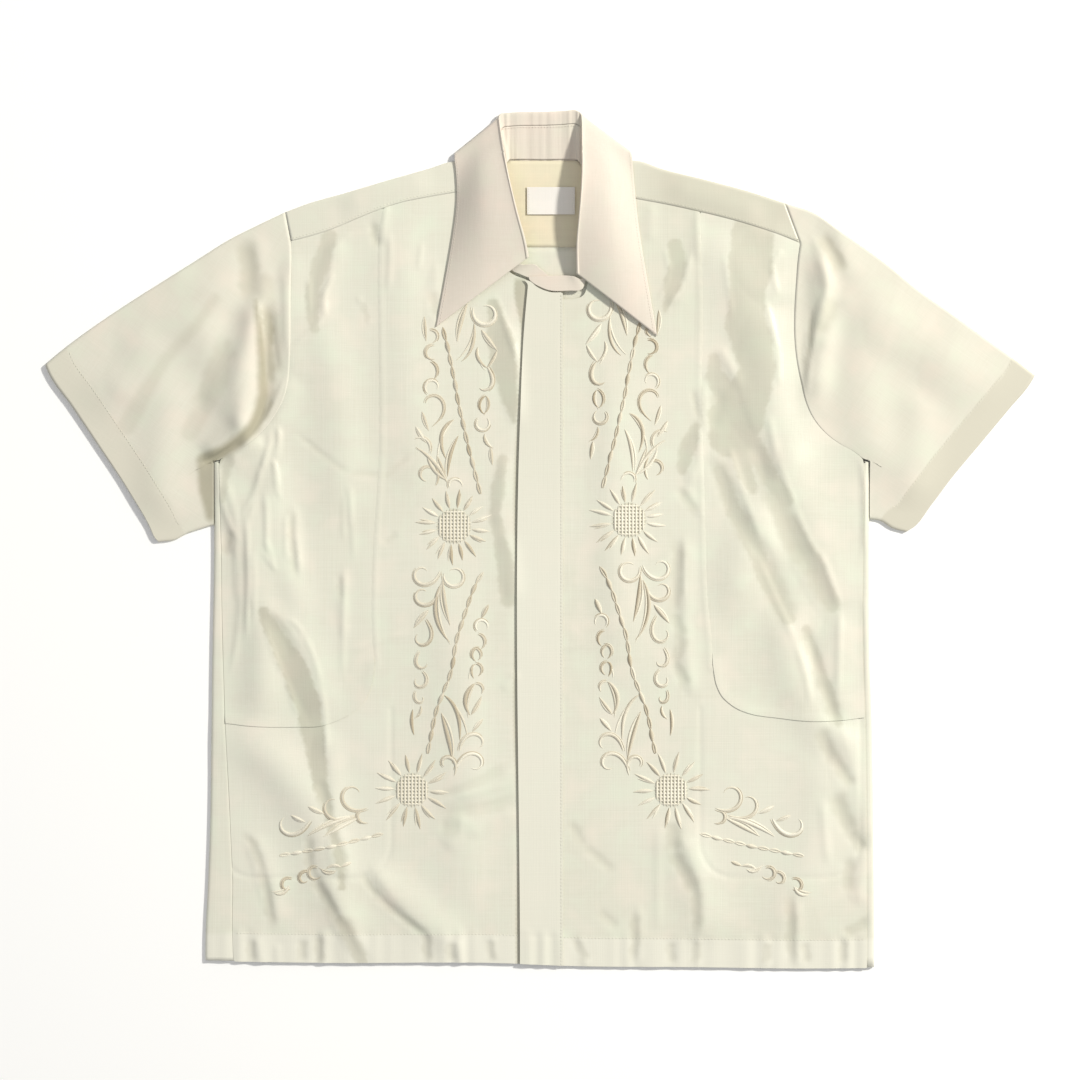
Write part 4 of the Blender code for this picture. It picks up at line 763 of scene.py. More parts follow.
def noise(tree, where, scale, detail=2.0, stretch=(1, 1, 1), turn=0.0):
    """Noise on object coordinates, stretched along the threads."""
    mapping = tree.nodes.new("ShaderNodeMapping")
    mapping.inputs["Scale"].default_value = stretch
    mapping.inputs["Rotation"].default_value = (0, 0, turn)
    tree.links.new(where, mapping.inputs["Vector"])
    node = tree.nodes.new("ShaderNodeTexNoise")
    node.inputs["Scale"].default_value = scale
    node.inputs["Detail"].default_value = detail
    tree.links.new(mapping.outputs[0], node.inputs["Vector"])
    return node.outputs["Fac"]


def finish(name):
    """A new material, its nodes and its shader."""
    material = bpy.data.materials.new(name)
    material.use_nodes = True
    return material, material.node_tree, material.node_tree.nodes["Principled BSDF"]


def relief(tree, shader, height, strength, distance):
    """Fine relief on a shader's surface."""
    node = tree.nodes.new("ShaderNodeBump")
    node.inputs["Strength"].default_value = strength
    node.inputs["Distance"].default_value = distance
    tree.links.new(height, node.inputs["Height"])
    tree.links.new(node.outputs[0], shader.inputs["Normal"])


def weave_group():
    """Plain weave with slubs: the thread height, and how pale or deep each thread is."""
    tree, given, out = group("weave", {"Turn": 0.0, "Slub": 0.5},
                             {"Height": "NodeSocketFloat", "Tone": "NodeSocketFloat"})
    tree.interface.new_socket("Where", in_out="INPUT", socket_type="NodeSocketVector")
    turned = tree.nodes.new("ShaderNodeVectorRotate")
    turned.rotation_type = "Z_AXIS"
    tree.links.new(given.outputs["Where"], turned.inputs["Vector"])
    tree.links.new(given.outputs["Turn"], turned.inputs["Angle"])
    place = turned.outputs[0]
    warp = noise(tree, place, 900, 2, (1, 0.02, 1))
    weft = noise(tree, place, 900, 2, (0.02, 1, 1))
    slub = noise(tree, place, 260, 3, (1, 0.03, 1))
    bar = noise(tree, place, 200, 3, (0.03, 1, 1))
    fine = math_node(tree, "ADD", warp, weft)
    wide = math_node(tree, "ADD", slub, bar)
    heavy = math_node(tree, "MULTIPLY", wide, given.outputs["Slub"])
    both = math_node(tree, "ADD", fine, heavy)
    tree.links.new(both, out.inputs["Height"])
    tone = math_node(tree, "SUBTRACT", math_node(tree, "MULTIPLY", both, 0.5), 0.25)
    tree.links.new(tone, out.inputs["Tone"])
    return tree


def mask(tree, name):
    """A piece's own mask."""
    node = tree.nodes.new("ShaderNodeAttribute")
    node.attribute_name = name
    return node.outputs["Fac"]


WEAVE = weave_group()


def cloth(name, pale, deep, doubled_and_cuff_shade, rough, sheen, turn=0.0, slub=0.5, bump=0.25, specular=0.5, sheen_rough=0.4):
    """A woven finish: pale and deep threads, another tone where the cloth is doubled, and painted shade where the
    depth mask is set. On the sleeves the doubled tone is darker, painted shade on the turned cuffs.
    """
    material, tree, shader = finish(name)
    where = tree.nodes.new("ShaderNodeTexCoord").outputs["Object"]
    weave = tree.nodes.new("ShaderNodeGroup")
    weave.node_tree = WEAVE
    weave.inputs["Turn"].default_value = turn
    weave.inputs["Slub"].default_value = slub
    tree.links.new(where, weave.inputs["Where"])
    drift = noise(tree, where, 7, 2)
    tone = math_node(tree, "ADD", math_node(tree, "MULTIPLY", weave.outputs["Tone"], 1.2), -0.25)
    tone = math_node(tree, "ADD", tone, math_node(tree, "MULTIPLY", drift, 0.7), clamp=True)
    colour = mixed(tree, tone, (*pale, 1), (*deep, 1))
    bloom = noise(tree, where, 34, 2)
    rosy = math_node(tree, "MULTIPLY", math_node(tree, "SUBTRACT", bloom, 0.52), 4.0, clamp=True)
    leafy = math_node(tree, "MULTIPLY", math_node(tree, "SUBTRACT", 0.48, bloom), 4.0, clamp=True)
    colour = mixed(tree, rosy, colour, (*(c * k for c, k in zip(pale, (1.01, 0.955, 0.945))), 1))
    colour = mixed(tree, leafy, colour, (*(c * k for c, k in zip(pale, (0.935, 0.975, 0.935))), 1))
    # Where the cloth is doubled: its own tone, and on the sleeves a darker one that is painted shade on the turned
    # cuffs.
    colour = mixed(tree, math_node(tree, "MULTIPLY", mask(tree, "doubled_and_cuff_shade"), 1.0, clamp=True), colour, (*doubled_and_cuff_shade, 1))
    # Painted shade: the deep thread colour darkened, laid on by the depth mask in troughs, folds and beside raised
    # edges.
    shade = tuple(c * k for c, k in zip(deep, (0.41, 0.385, 0.285)))
    colour = mixed(tree, math_node(tree, "MULTIPLY", mask(tree, "depth"), 1.0, clamp=True), colour, (*shade, 1))
    tree.links.new(colour, shader.inputs["Base Color"])
    roughness = math_node(tree, "ADD", math_node(tree, "MULTIPLY", weave.outputs["Tone"], 0.18), rough - 0.09)
    tree.links.new(roughness, shader.inputs["Roughness"])
    shader.inputs["Sheen Weight"].default_value = sheen
    shader.inputs["Sheen Roughness"].default_value = sheen_rough
    shader.inputs["Specular IOR Level"].default_value = specular
    relief(tree, shader, weave.outputs["Height"], bump, 0.0003)
    return material


BODY = cloth("body_cloth", (0.765, 0.757, 0.655), (0.690, 0.676, 0.567), (0.757, 0.741, 0.642), 0.38, 0.25)
# The sleeve's doubled colour is darker than its cloth: painted shade on the turned cuffs.
SLEEVE = cloth("sleeve_cloth", (0.750, 0.730, 0.636), (0.690, 0.665, 0.565), (0.655, 0.628, 0.530), 0.72, 0.15,
               turn=0.6, bump=0.2, specular=0.25)
INSIDE = cloth("inner_cloth", (0.800, 0.735, 0.560), (0.715, 0.655, 0.495), (0.80, 0.75, 0.60), 0.7, 0.1,
               bump=0.2, specular=0.2)
COLLAR_CLOTH = cloth("collar_cloth", (0.740, 0.680, 0.600), (0.670, 0.605, 0.520), (0.76, 0.70, 0.62), 0.75, 0.12,
                     slub=0.3, bump=0.2, specular=0.2)
LABEL_CLOTH = cloth("label_cloth", (0.86, 0.83, 0.79), (0.80, 0.77, 0.72), (0.88, 0.86, 0.83), 0.5, 0.2,
                    slub=0.1, bump=0.15)


# Masks

def never(x, y):
    return np.zeros_like(x)


NO_MASK = {"doubled_and_cuff_shade": never, "depth": never}


def hem_mask(x, y):
    """The turned hem along the foot."""
    foot = hem_y(x)
    return smooth((foot + HEM_WIDE + 1 - y) / 2)


# Body

def front_border(side):
    s = sign(side)
    low = UNDERLAP_LEFT_X if side == "left" else UNDERLAP_RIGHT_X
    foot = float(hem_y(low))
    neck_end = intersect(neckline[side], yoke_front[side])
    yoke_end = intersect(pocket_seam[side], yoke_front[side])
    neck_part = neckline[side][:neck_end[0] + 1]
    inner = np.vstack([[(low, foot)], neck_part, [neck_end[1]]])
    yoke_line = yoke_front[side] if side == "right" else yoke_front[side][::-1]
    yoke_line = between(yoke_line, neck_end[1], yoke_end[1])
    seam = pocket_seam[side]
    seam = seam[seam[:, 1] < yoke_end[1][1] - 1] if seam[0, 1] > 0 else seam
    edge_x = seam_x(side, float(mouth[side][0 if side == "left" else -1][1]))
    lips = mouth[side][::-1] if side == "left" else mouth[side]
    lips = lips[(lips[:, 0] * s) < edge_x * s - 1]
    levels = np.arange(lips[-1, 1], -376, -4.0)
    flank = np.column_stack([seam_x(side, levels), levels])
    corner_x = seam_x(side, -376.0)
    flank = flank[flank[:, 1] > hem_y(corner_x) + 2]
    foot_x = np.linspace(corner_x, low, 120)
    foot_line = np.column_stack([foot_x, hem_y(foot_x)])
    return np.vstack([inner, yoke_line, seam, lips, flank, foot_line])


def intersect(a, b):
    """The first crossing of line a with line b: a's point before it, and the place."""
    for i in range(len(a) - 1):
        p, r = a[i], a[i + 1] - a[i]
        q, s = b[:-1], b[1:] - b[:-1]
        cross = r[0] * s[:, 1] - r[1] * s[:, 0]
        with np.errstate(divide="ignore", invalid="ignore"):
            t = ((q[:, 0] - p[0]) * s[:, 1] - (q[:, 1] - p[1]) * s[:, 0]) / cross
            u = ((q[:, 0] - p[0]) * r[1] - (q[:, 1] - p[1]) * r[0]) / cross
        hit = np.where((t >= 0) & (t <= 1) & (u >= 0) & (u <= 1))[0]
        if len(hit):
            return i, p + r * t[hit[0]]
    return len(a) - 2, a[-1]


def between(line, start, end):
    """The part of a line from one place to another, both on it."""
    i = int(np.argmin(np.hypot(*(line - start).T)))
    j = int(np.argmin(np.hypot(*(line - end).T)))
    inner = line[min(i, j) + 1:max(i, j)]
    if i > j:
        inner = inner[::-1]
    return np.vstack([[start], inner, [end]])


def seam_x(side, y):
    return x_at(side_fold[side], y) - sign(side) * x_at(side_inset[side], y)


def side_border(side):
    s = sign(side)
    seam_end = intersect(pocket_seam[side], yoke_front[side])
    head = between(yoke_front[side], np.array(ARMHOLE[side][0], float), seam_end[1])
    seam = pocket_seam[side][pocket_seam[side][:, 1] < seam_end[1][1] - 1]
    seam = seam if seam[0, 1] > seam[-1, 1] else seam[::-1]
    lips = mouth[side][::-1] if side == "left" else mouth[side]
    edge_x = float(seam_x(side, lips[-1, 1]))
    lips = lips[(lips[:, 0] * s) < edge_x * s - 1]
    levels = np.arange(lips[-1, 1], UNDERARM_Y, 4.0)
    flank = np.column_stack([seam_x(side, levels), levels])
    return np.vstack([head, seam, lips, flank, armhole[side][::-1][1:-1]])


def pouch_border(side):
    x0, x1 = sorted((POUCH_INNER_X[side], sign(side) * POUCH_OUTER_X))
    top, low, r = POUCH_TOP_Y, POUCH_BOTTOM_Y, POUCH_CORNER
    turn = np.linspace(0, math.pi / 2, 9)
    left = np.column_stack([x0 + r - r * np.cos(turn), low + r - r * np.sin(turn)])
    right = np.column_stack([x1 - r + r * np.sin(turn), low + r - r * np.cos(turn)])
    return np.vstack([[(x0, top)], left, right, [(x1, top)]])


pouch_line = {side: resample(pouch_border(side), 2) for side in ("left", "right")}


def lip_lift(side):
    """The pocket mouth stands a little off the front below it."""
    line = mouth[side]

    def height(x, y):
        return skin(x, y) + 0.7 * np.exp(-(distance(x, y, line) / 7) ** 2)
    return height


def seam_dip(height, *lines, depth=0.1, wide=1.3):
    """The same surface, drawn down to the stitches along seams."""
    def lowered(x, y):
        z = height(x, y)
        for line in lines:
            z = z - depth * np.exp(-(distance(x, y, line) / wide) ** 2)
        return z
    return lowered


def front_height(side):
    def height(x, y):
        tuck = np.exp(-((distance(x, y, pocket_seam[side]) - 3.0) / 2.0) ** 2)
        bag = smooth((distance(x, y, pouch_line[side]) - 1) / 2) - 1
        z = skin(x, y) + 0.4 * tuck + 0.4 * bag
        if side == "left":
            z = z - 0.5 * np.exp(-((x - x_at(placket_left, y)) / 3.5) ** 2) * (y < 226)
        return z
    return height


def mirrored(side, points):
    """From distance out of the middle and y, to x and y on one side."""
    lift = MIRROR_LIFT * smooth((points[:, 1] + 190) / 190) if side == "right" else 0
    return np.column_stack([MIRROR_X + sign(side) * points[:, 0], points[:, 1] + lift])


def front_shade(side):
    """Painted shade: in the creases and patches, a painted shadow beside the fly band's raised left edge, a little
    darker towards the top on the right, and dark under the sunflowers' discs.
    """
    def shade(x, y):
        z = painted_shade(x, y)
        # Painted shadow beside the fly band's raised left edge, wider near the neck.
        if side == "left":
            reach = 3.6 + 1.1 * np.sin(y * 0.031) + 9 * smooth((y - 176) / 46)
            z = np.maximum(z, 0.5 * smooth((x - x_at(placket_left, y) + reach) / 2.6) * smooth((232 - y) / 6))
        else:
            # Painted shade, a little darker towards the top.
            z = z + 0.07 * smooth((y - 120) / 90) * (1 - z)
        # Painted shade between the threads of each disc, where its drawn-thread holes lie.
        for out, middle, disc, *_ in SUNFLOWERS:
            at = mirrored(side, np.array([[out, middle]]))[0]
            z = np.maximum(z, 0.6 * smooth((disc - np.hypot(x - at[0], y - at[1])) / 1.5))
        return z
    return shade


for side in ("left", "right"):
    hem_line = np.column_stack([hem[:, 0], hem[:, 1] + HEM_WIDE])
    # Painted shade on the fronts comes through the depth mask.
    panel("front_%s_cloth" % side, "front_" + side, front_border(side),
          seam_dip(front_height(side), yoke_front[side], pocket_seam[side], hem_line), BODY,
          masks={"doubled_and_cuff_shade": lambda x, y: hem_mask(x, y) + 0.3 * over_pouch(x, y), "depth": front_shade(side)})
    # Painted shade on the side panels: darker in their creases and patches.
    panel("side_%s_cloth" % side, "side_" + side, side_border(side),
          seam_dip(lip_lift(side), yoke_front[side], armhole[side]), BODY,
          masks={"doubled_and_cuff_shade": never, "depth": painted_shade})


def placket_border():
    head = placket_top[placket_top[:, 0] < PLACKET_RIGHT_X]
    levels = np.arange(216, -374, -4.0)
    right = np.column_stack([np.full_like(levels, PLACKET_RIGHT_X), levels])
    foot_x = np.linspace(PLACKET_RIGHT_X, x_at(placket_left, -374.0), 16)
    foot = np.column_stack([foot_x, hem_y(foot_x)])
    left = placket_left[::-1]
    left = left[(left[:, 1] > -372) & (left[:, 1] < 226)]
    return np.vstack([head, right, foot, left])


def placket_height(x, y):
    """The fly band, proud of the front along its left edge."""
    f = np.clip((x - x_at(placket_left, y)) / (PLACKET_RIGHT_X - x_at(placket_left, y)), 0, 1)
    return skin(x, y) + 0.8 + 0.45 * PLACKET_LIFT * (1 - f) ** 1.5


stitch_x = PLACKET_RIGHT_X - 1.5
fly_line = resample(np.array([(stitch_x, 214.0), (stitch_x, -374.0)]), 2)
# The fly band's depth mask is painted shade, a little darker towards the top.
panel("placket_cloth", "placket", placket_border(),
      seam_dip(placket_height, hem_line, fly_line, depth=0.2), BODY, step=2.2,
      masks={"doubled_and_cuff_shade": lambda x, y: np.ones_like(x) * 0.75, "depth": lambda x, y: 0.09 * smooth((y + 60) / 200)})


for side in ("left", "right"):
    panel("pouch_%s_cloth" % side, "pouch_" + side, pouch_border(side),
          lambda x, y: np.full_like(x, 1.3 + CLOTH), BODY, step=9, masks=NO_MASK)


def label_height(x, y):
    return CLOTH + leaf_room(x, y) + SEAM + WALL + 0.25 * np.exp(-((x - LABEL_AT[0]) / 16) ** 2)


wide, tall = LABEL_SIZE[0] / 2, LABEL_SIZE[1] / 2
corners = [(LABEL_AT[0] + a * wide, LABEL_AT[1] + b * tall) for a, b in ((-1, 1), (-1, -1), (1, -1), (1, 1))]
panel("label_cloth", "label", np.array(corners), label_height, LABEL_CLOTH, step=1.6, masks=NO_MASK)


def yoke_cloth():
    """The yoke: its back half on the table, folded at the shoulders, with a notch for the neck."""
    half = 90
    cols = []
    for side in ("left", "right"):
        ends = shoulder[side]
        for k in range(half + 1):
            t = k / half
            x = ends[0][0] + (ends[-1][0] - ends[0][0]) * t
            x += SIDE_GAP * (1 - t) if side == "left" else -SIDE_GAP * t
            seam = yoke_front[side]
            fx = seam[0][0] + (seam[-1][0] - seam[0][0]) * t
            fx -= sign(side) * SIDE_GAP * (1 - t if side == "left" else t)
            outer = float(x_at(armhole[side], BACK_SEAM_Y)) - sign(side) * SIDE_GAP
            inner = NECK_LEFT_X if side == "left" else NECK_RIGHT_X
            foot_x = outer + (inner - outer) * (t if side == "left" else 1 - t)
            cols.append((side, x, float(y_at(shoulder[side], x)), fx, float(y_at(seam, fx)) + YOKE_SEAM, foot_x))
        if side == "left":
            for k in range(1, 24):
                x = NECK_LEFT_X + (NECK_RIGHT_X - NECK_LEFT_X) * k / 24
                cols.append(("neck", x, NECK_BACK_Y, x, NECK_BACK_Y, x))
    front_rows = list(np.linspace(0, 1, 15))
    arc = list(np.linspace(160, 20, 8))
    back_rows = list(np.linspace(0, 1, 24))
    verts = []
    for side, x, fold_y, fx, front_y, foot_x in cols:
        edge_y = fold_y - CLOTH / 2
        inner_y = NECK_BACK_Y if side == "neck" else edge_y - FOLD_ROUND
        low = float(leaf_room(x, fold_y))
        high = float(skin(np.array([x]), np.array([inner_y]))[0])
        lean = 0 if side == "neck" else (x - fx) / (fold_y - front_y)
        for t in front_rows:
            py = front_y + (inner_y - front_y) * t
            px = fx + lean * (py - front_y)
            if side != "neck":
                limit = float(x_at(neckline[side], py))
                px = min(px, limit) if side == "left" else max(px, limit)
            verts.append((px, py, None))
        for angle in arc:
            a = math.radians(angle - 90)
            swell = (high - low) / 2
            py = inner_y + (FOLD_ROUND + 0.5) * math.cos(a)
            verts.append((x - lean * (fold_y - py), py, (high + low) / 2 + swell * math.sin(a)))
        for t in back_rows:
            px, py = x + (foot_x - x) * t, inner_y + (BACK_SEAM_Y + YOKE_SEAM - inner_y) * t
            verts.append((px, py, float(leaf_room(px, py))))
    rows = len(front_rows) + len(arc) + len(back_rows)
    plain = np.array([(a, b, 0 if c is None else c) for a, b, c in verts])
    top = np.array([c is None for _, _, c in verts])
    height = seam_dip(skin, *yoke_front.values(), *shoulder_end.values())
    plain[top, 2] = height(plain[top, 0], plain[top, 1])
    first_back = len(front_rows) + len(arc)
    faces = []
    for face in grid(len(cols), rows):
        i, j = divmod(face[0], rows)
        notch = half <= i < half + 24 and j < first_back
        if not notch:
            faces.append(tuple(face))
    used = sorted({k for face in faces for k in face})
    renumber = {k: n for n, k in enumerate(used)}
    faces = [tuple(renumber[k] for k in face) for face in faces]
    plain = plain[used]
    inside = np.array([k % rows >= first_back for k in used], float)
    # Painted shade on the outside of the yoke, deeper towards the right.
    deep = (1 - inside) * (0.05 + 0.25 * smooth((plain[:, 0] - 60) / 60))
    piece = make("yoke_cloth", plain, faces, "yoke", BODY, masks={"doubled_and_cuff_shade": 0.35 * (1 - inside), "depth": deep})
    piece.data.materials.append(INSIDE)
    for poly in piece.data.polygons:
        if all(inside[k] for k in poly.vertices):
            poly.material_index = 1
    thicken(piece, WALL)
    return piece


def back_cloth():
    """The back, flat on the table, with its sides folded up round to the front side seams."""
    heights = np.concatenate([np.linspace(-372, 66, 100), np.linspace(67.5, BACK_SEAM_Y, 40)])
    stations = [("left", "top", t) for t in (1, 0.96, 0.92, 0.88, 0.84, 0.78, 0.7, 0.55, 0.4, 0.2)]
    stations += [("left", "arc", a) for a in (180, 150, 120, 90, 60, 30, 0)]
    flat = list(np.linspace(0.02, 0.98, 49))
    stations += [("flat", "", f) for f in flat]
    stations += [("right", "arc", a) for a in (0, 30, 60, 90, 120, 150, 180)]
    stations += [("right", "top", t) for t in (0.2, 0.4, 0.55, 0.7, 0.78, 0.84, 0.88, 0.92, 0.96, 1)]
    y = heights
    edges = {}
    for side in ("left", "right"):
        s = sign(side)
        edge = x_at(side_fold[side], y) - s * CLOTH / 2
        start = edge - s * FOLD_ROUND
        last = seam_x(side, y) - s * 2.2
        room = np.maximum(np.abs(start - last) * smooth((UNDERARM_Y - y) / 5), 0.6)
        high = skin(start, y)
        for kind, amount in [(k, a) for sd, k, a in stations if sd == side]:
            if kind == "arc":
                a = math.radians(amount - 90)
                x = start + s * (FOLD_ROUND + 0.5) * math.cos(a)
                z = high / 2 + high / 2 * math.sin(a)
            else:
                x = start - s * room * amount
                z = skin(x, y) - (WALL + 0.08) * smooth((seam_x(side, y) * s + 1.2 - x * s) / 1.2)
            order = 1 - amount if kind == "top" else 1 + (180 - amount) / 45
            above = y > UNDERARM_Y
            x = np.where(above, x_at(armhole[side], y) - s * (SEAM + order * 0.7), x)
            z = np.where(above, 0.0, z)
            edges[(side, kind, amount)] = (x, z)
    verts = []
    for side, kind, amount in stations:
        if side == "flat":
            left, right = edges[("left", "arc", 0)][0], edges[("right", "arc", 0)][0]
            x, z = left + (right - left) * amount, np.zeros_like(y)
        else:
            x, z = edges[(side, kind, amount)]
        row_y = y.copy()
        row_y[0] = float(hem_y(x[0])) + 0.6
        verts.append(np.column_stack([x, row_y, z]))
    verts = np.vstack(verts)
    faces = [tuple(reversed(face)) for face in grid(len(stations), len(heights))]
    piece = make("back_cloth", verts, faces, "back", BODY,
                 masks={"doubled_and_cuff_shade": hem_mask(verts[:, 0], verts[:, 1]), "depth": np.zeros(len(verts))})
    thicken(piece, WALL)
    return piece


def sleeve_cloth(side):
    """A short sleeve: a flattened tube from the armhole to its turned cuff."""
    s = sign(side)
    foot = SLEEVE_FOOT_LEFT if side == "left" else SLEEVE_FOOT_RIGHT
    foot = (x_at(side_fold[side], foot[1]) + s * 0.3, foot[1])
    low_edge = np.vstack([[foot], sleeve_low[side][1:]])
    arm = armhole[side][armhole[side][:, 1] > UNDERARM_Y + 1.2] + (s * SIDE_GAP, 0)
    arm = np.vstack([sleeve_top[side][:1], arm[arm[:, 1] < 262], [(foot[0], UNDERARM_Y + 0.6), foot]])
    lines = arm, cuff[side], sleeve_top[side], low_edge
    corners = [lines[2][0], lines[2][-1], np.array(foot, float), lines[3][-1]]

    def plan(t, v):
        """Plan of the sleeve: t across from the shoulder fold, v out from the armhole."""
        t, v = np.broadcast_arrays(t, v)
        a, c, top, low = along(lines[0], t), along(lines[1], t), along(lines[2], v), along(lines[3], v)
        t, v = t[..., None], v[..., None]
        mixed_in = (1 - t) * ((1 - v) * corners[0] + v * corners[1]) + t * ((1 - v) * corners[2] + v * corners[3])
        return (1 - v) * a + v * c + (1 - t) * top + t * low - mixed_in

    rounds = np.array([0.002, 0.005, 0.009, 0.014])
    over = np.concatenate([rounds, np.linspace(0.02, 0.98, 100), 1 - rounds[::-1]])
    under = np.concatenate([1 - rounds, np.linspace(0.98, 0.02, 40), rounds[::-1]])
    kinds = np.array([1] * len(over) + [0] + [-1] * len(under) + [0])
    t = np.concatenate([over, [1], under, [0]])
    out = np.linspace(0, 1, 90)
    p = plan(t[:, None], out[None, :])
    x, y = p[..., 0], p[..., 1]
    high = seam_dip(skin, arm, shoulder_end[side], cuff_line(side))(x.ravel(), y.ravel()).reshape(x.shape)
    edge = np.minimum(np.linalg.norm(p - plan(1.0, out)[None], axis=-1),
                      np.linalg.norm(p - plan(0.0, out)[None], axis=-1))
    swell = np.sqrt(np.clip(1 - (1 - np.clip(edge / FOLD_ROUND, 0, 1)) ** 2, 0, 1))
    half = high / 2
    z = np.where(kinds[:, None] > 0, half + half * swell, np.where(kinds[:, None] < 0, half - half * swell, half))
    verts = np.column_stack([x.ravel(), y.ravel(), z.ravel()])
    faces = grid(len(t), len(out), closed=True)
    if side == "left":
        faces = [tuple(reversed(face)) for face in faces]
    # The turned cuff is doubled cloth painted darker as shade, more on the right sleeve; the depth mask lays painted
    # shade in the top layer's folds and a little over all the right sleeve.
    doubled_and_cuff_shade = smooth((CUFF_WIDE + 1 - distance(verts[:, 0], verts[:, 1], cuff[side])) / 2)
    deep = np.where(np.repeat(kinds, len(out)) > 0, painted_shade(verts[:, 0], verts[:, 1]), 0)
    piece = make("sleeve_%s_cloth" % side, verts, faces, "sleeve_" + side, SLEEVE,
                 masks={"doubled_and_cuff_shade": doubled_and_cuff_shade * (0.7 if side == "left" else 1.0),
                        "depth": (side == "right") * (0.05 + 0.06 * doubled_and_cuff_shade) + deep})
    thicken(piece, WALL)
    return piece


def cuff_line(side):
    """The stitch line of a cuff's hem, inside its edge."""
    return beside(cuff[side], -sign(side) * CUFF_WIDE)


def collar_rows():
    rows = list(reversed(COLLAR["left"])) + [COLLAR_BACK] + list(COLLAR["right"])
    out = []
    for row in rows:
        part = dict(zip(SECTION, row))
        if part["edge_z"] is None:
            x, y = np.array([part["edge_x"]], float), np.array([part["edge_y"]], float)
            part["edge_z"] = FRONT_BASE + CLOTH / 2 + float(rise(x, y)[0]) + CLOTH + LEAF_EDGE_GAP
        out.append(part)
    return out


def unit(vector):
    return vector / max(np.linalg.norm(vector), 1e-9)


def collar_curves():
    """The lines that run along the collar: edge, middle, roll and lip of the leaf, then the band's."""
    lines = {name: [] for name in ("edge", "middle", "outer", "roll", "inner", "lip", "band", "waist", "seam")}
    for part in collar_rows():
        seam = np.array([part["seam_x"], part["seam_y"], part["seam_z"]])
        roll = np.array([part["roll_x"], part["roll_y"], part["roll_z"]])
        edge = np.array([part["edge_x"], part["edge_y"], part["edge_z"]])
        out = unit((edge - roll) * (1, 1, 0))
        down = unit((seam - roll) * (1, 1, 0))
        middle = (edge + roll) / 2
        middle[2] = part["middle_z"]
        outer = roll + out * ROLL_SIDE
        outer[2] = roll[2] - part["outer_drop"]
        inner = roll + down * ROLL_SIDE * 0.8
        inner[2] = roll[2] - part["inner_drop"]
        reach = np.linalg.norm(seam - inner)
        toward = (seam - inner) / reach
        lip = inner + toward * min(ROLL_LIP, reach * 0.35)
        band = lip + toward * 0.3
        waist = (band + seam) / 2
        for name, point in (("edge", edge), ("middle", middle), ("outer", outer), ("roll", roll),
                            ("inner", inner), ("lip", lip), ("band", band), ("waist", waist), ("seam", seam)):
            lines[name].append(point)
    return lines


def catmull(points, t):
    """A smooth surface line: points has one row a station, t one or more places along it."""
    points = np.asarray(points, float)
    t = np.atleast_1d(t)
    k = np.minimum(t.astype(int), len(points) - 2)
    f = (t - k).reshape((-1,) + (1,) * (points.ndim - 1))
    p0, p1, p2 = points[np.maximum(k - 1, 0)], points[k], points[k + 1]
    p3 = points[np.minimum(k + 2, len(points) - 1)]
    return 0.5 * (2 * p1 + (p2 - p0) * f + (2 * p0 - 5 * p1 + 4 * p2 - p3) * f ** 2
                  + (3 * p1 - p0 - 3 * p2 + p3) * f ** 3)


def band_puckers(verts):
    """Upright puckers along the back of the band."""
    x = verts[..., 0]
    wave = np.sin(x * 0.62 + 1.9 * np.sin(x * 0.19)) + 0.5 * np.sin(x * 1.5 + 1)
    return 0.28 * wave * smooth((verts[..., 1] - 318) / 10)


def collar_leaf_cloth(lines):
    order = ("edge", "middle", "outer", "roll", "inner", "lip")
    stations = np.linspace(0, len(lines["edge"]) - 1, 220)
    down = np.concatenate([np.linspace(0, 1, 22), np.linspace(1, 5, 27)[1:]])
    across = catmull(np.stack([lines[name] for name in order], axis=1), stations)
    verts = np.stack([catmull(row, down) for row in across])
    verts[..., 2] = np.maximum(verts[..., 2], CLOTH / 2) + band_puckers(verts) * smooth((down - 3) / 0.8)
    faces = [tuple(reversed(face)) for face in grid(len(stations), len(down))]
    verts = verts.reshape(-1, 3)
    piece = make("collar_leaf_cloth", verts, faces, "collar_leaf", COLLAR_CLOTH,
                 masks={"doubled_and_cuff_shade": np.zeros(len(verts)), "depth": np.zeros(len(verts))})
    thicken(piece, CLOTH, 0)
    return piece


def collar_stand_cloth(lines):
    band, waist, seam = list(lines["band"]), list(lines["waist"]), list(lines["seam"])
    for side in ("left", "right"):
        for row in BAND_END[side]:
            low, high = np.array(row[:3]), np.array(row[3:])
            for line, point in ((band, high), (waist, (low + high) / 2), (seam, low)):
                line.insert(0, point) if side == "left" else line.append(point)
    stations = np.linspace(0, len(seam) - 1, 260)
    across = catmull(np.stack([band, waist, seam], axis=1), stations)
    verts = np.stack([catmull(row, np.linspace(0, 2, 18)) for row in across])
    verts[..., 2] += band_puckers(verts)
    verts = verts.reshape(-1, 3)
    piece = make("collar_stand_cloth", verts, [tuple(reversed(f)) for f in grid(260, 18)], "collar_stand",
                 COLLAR_CLOTH, masks={"doubled_and_cuff_shade": np.zeros(len(verts)), "depth": np.zeros(len(verts))})
    thicken(piece, BAND_WALL, 0)
    return piece


yoke_cloth()
back_cloth()
for side in ("left", "right"):
    sleeve_cloth(side)
curves = collar_curves()
collar_leaf_cloth(curves)
collar_stand_cloth(curves)


# Embroidery

def spine(start, heading, length, bend, curl, count):
    """The middle line of a satin-stitched stroke that turns by bend, more at its end where it curls."""
    s = np.linspace(0, 1, count)
    angle = np.radians(heading + bend * (s + curl * (s * s - s)))
    angle = (angle[1:] + angle[:-1]) / 2
    steps = np.column_stack([np.cos(angle), np.sin(angle)]) * length / (count - 1)
    return np.vstack([start, start + np.cumsum(steps, axis=0)])


SECTION_ACROSS = ((-1, 0), (-0.72, 0.72), (0, 1), (0.72, 0.72), (1, 0), (0, -0.2))


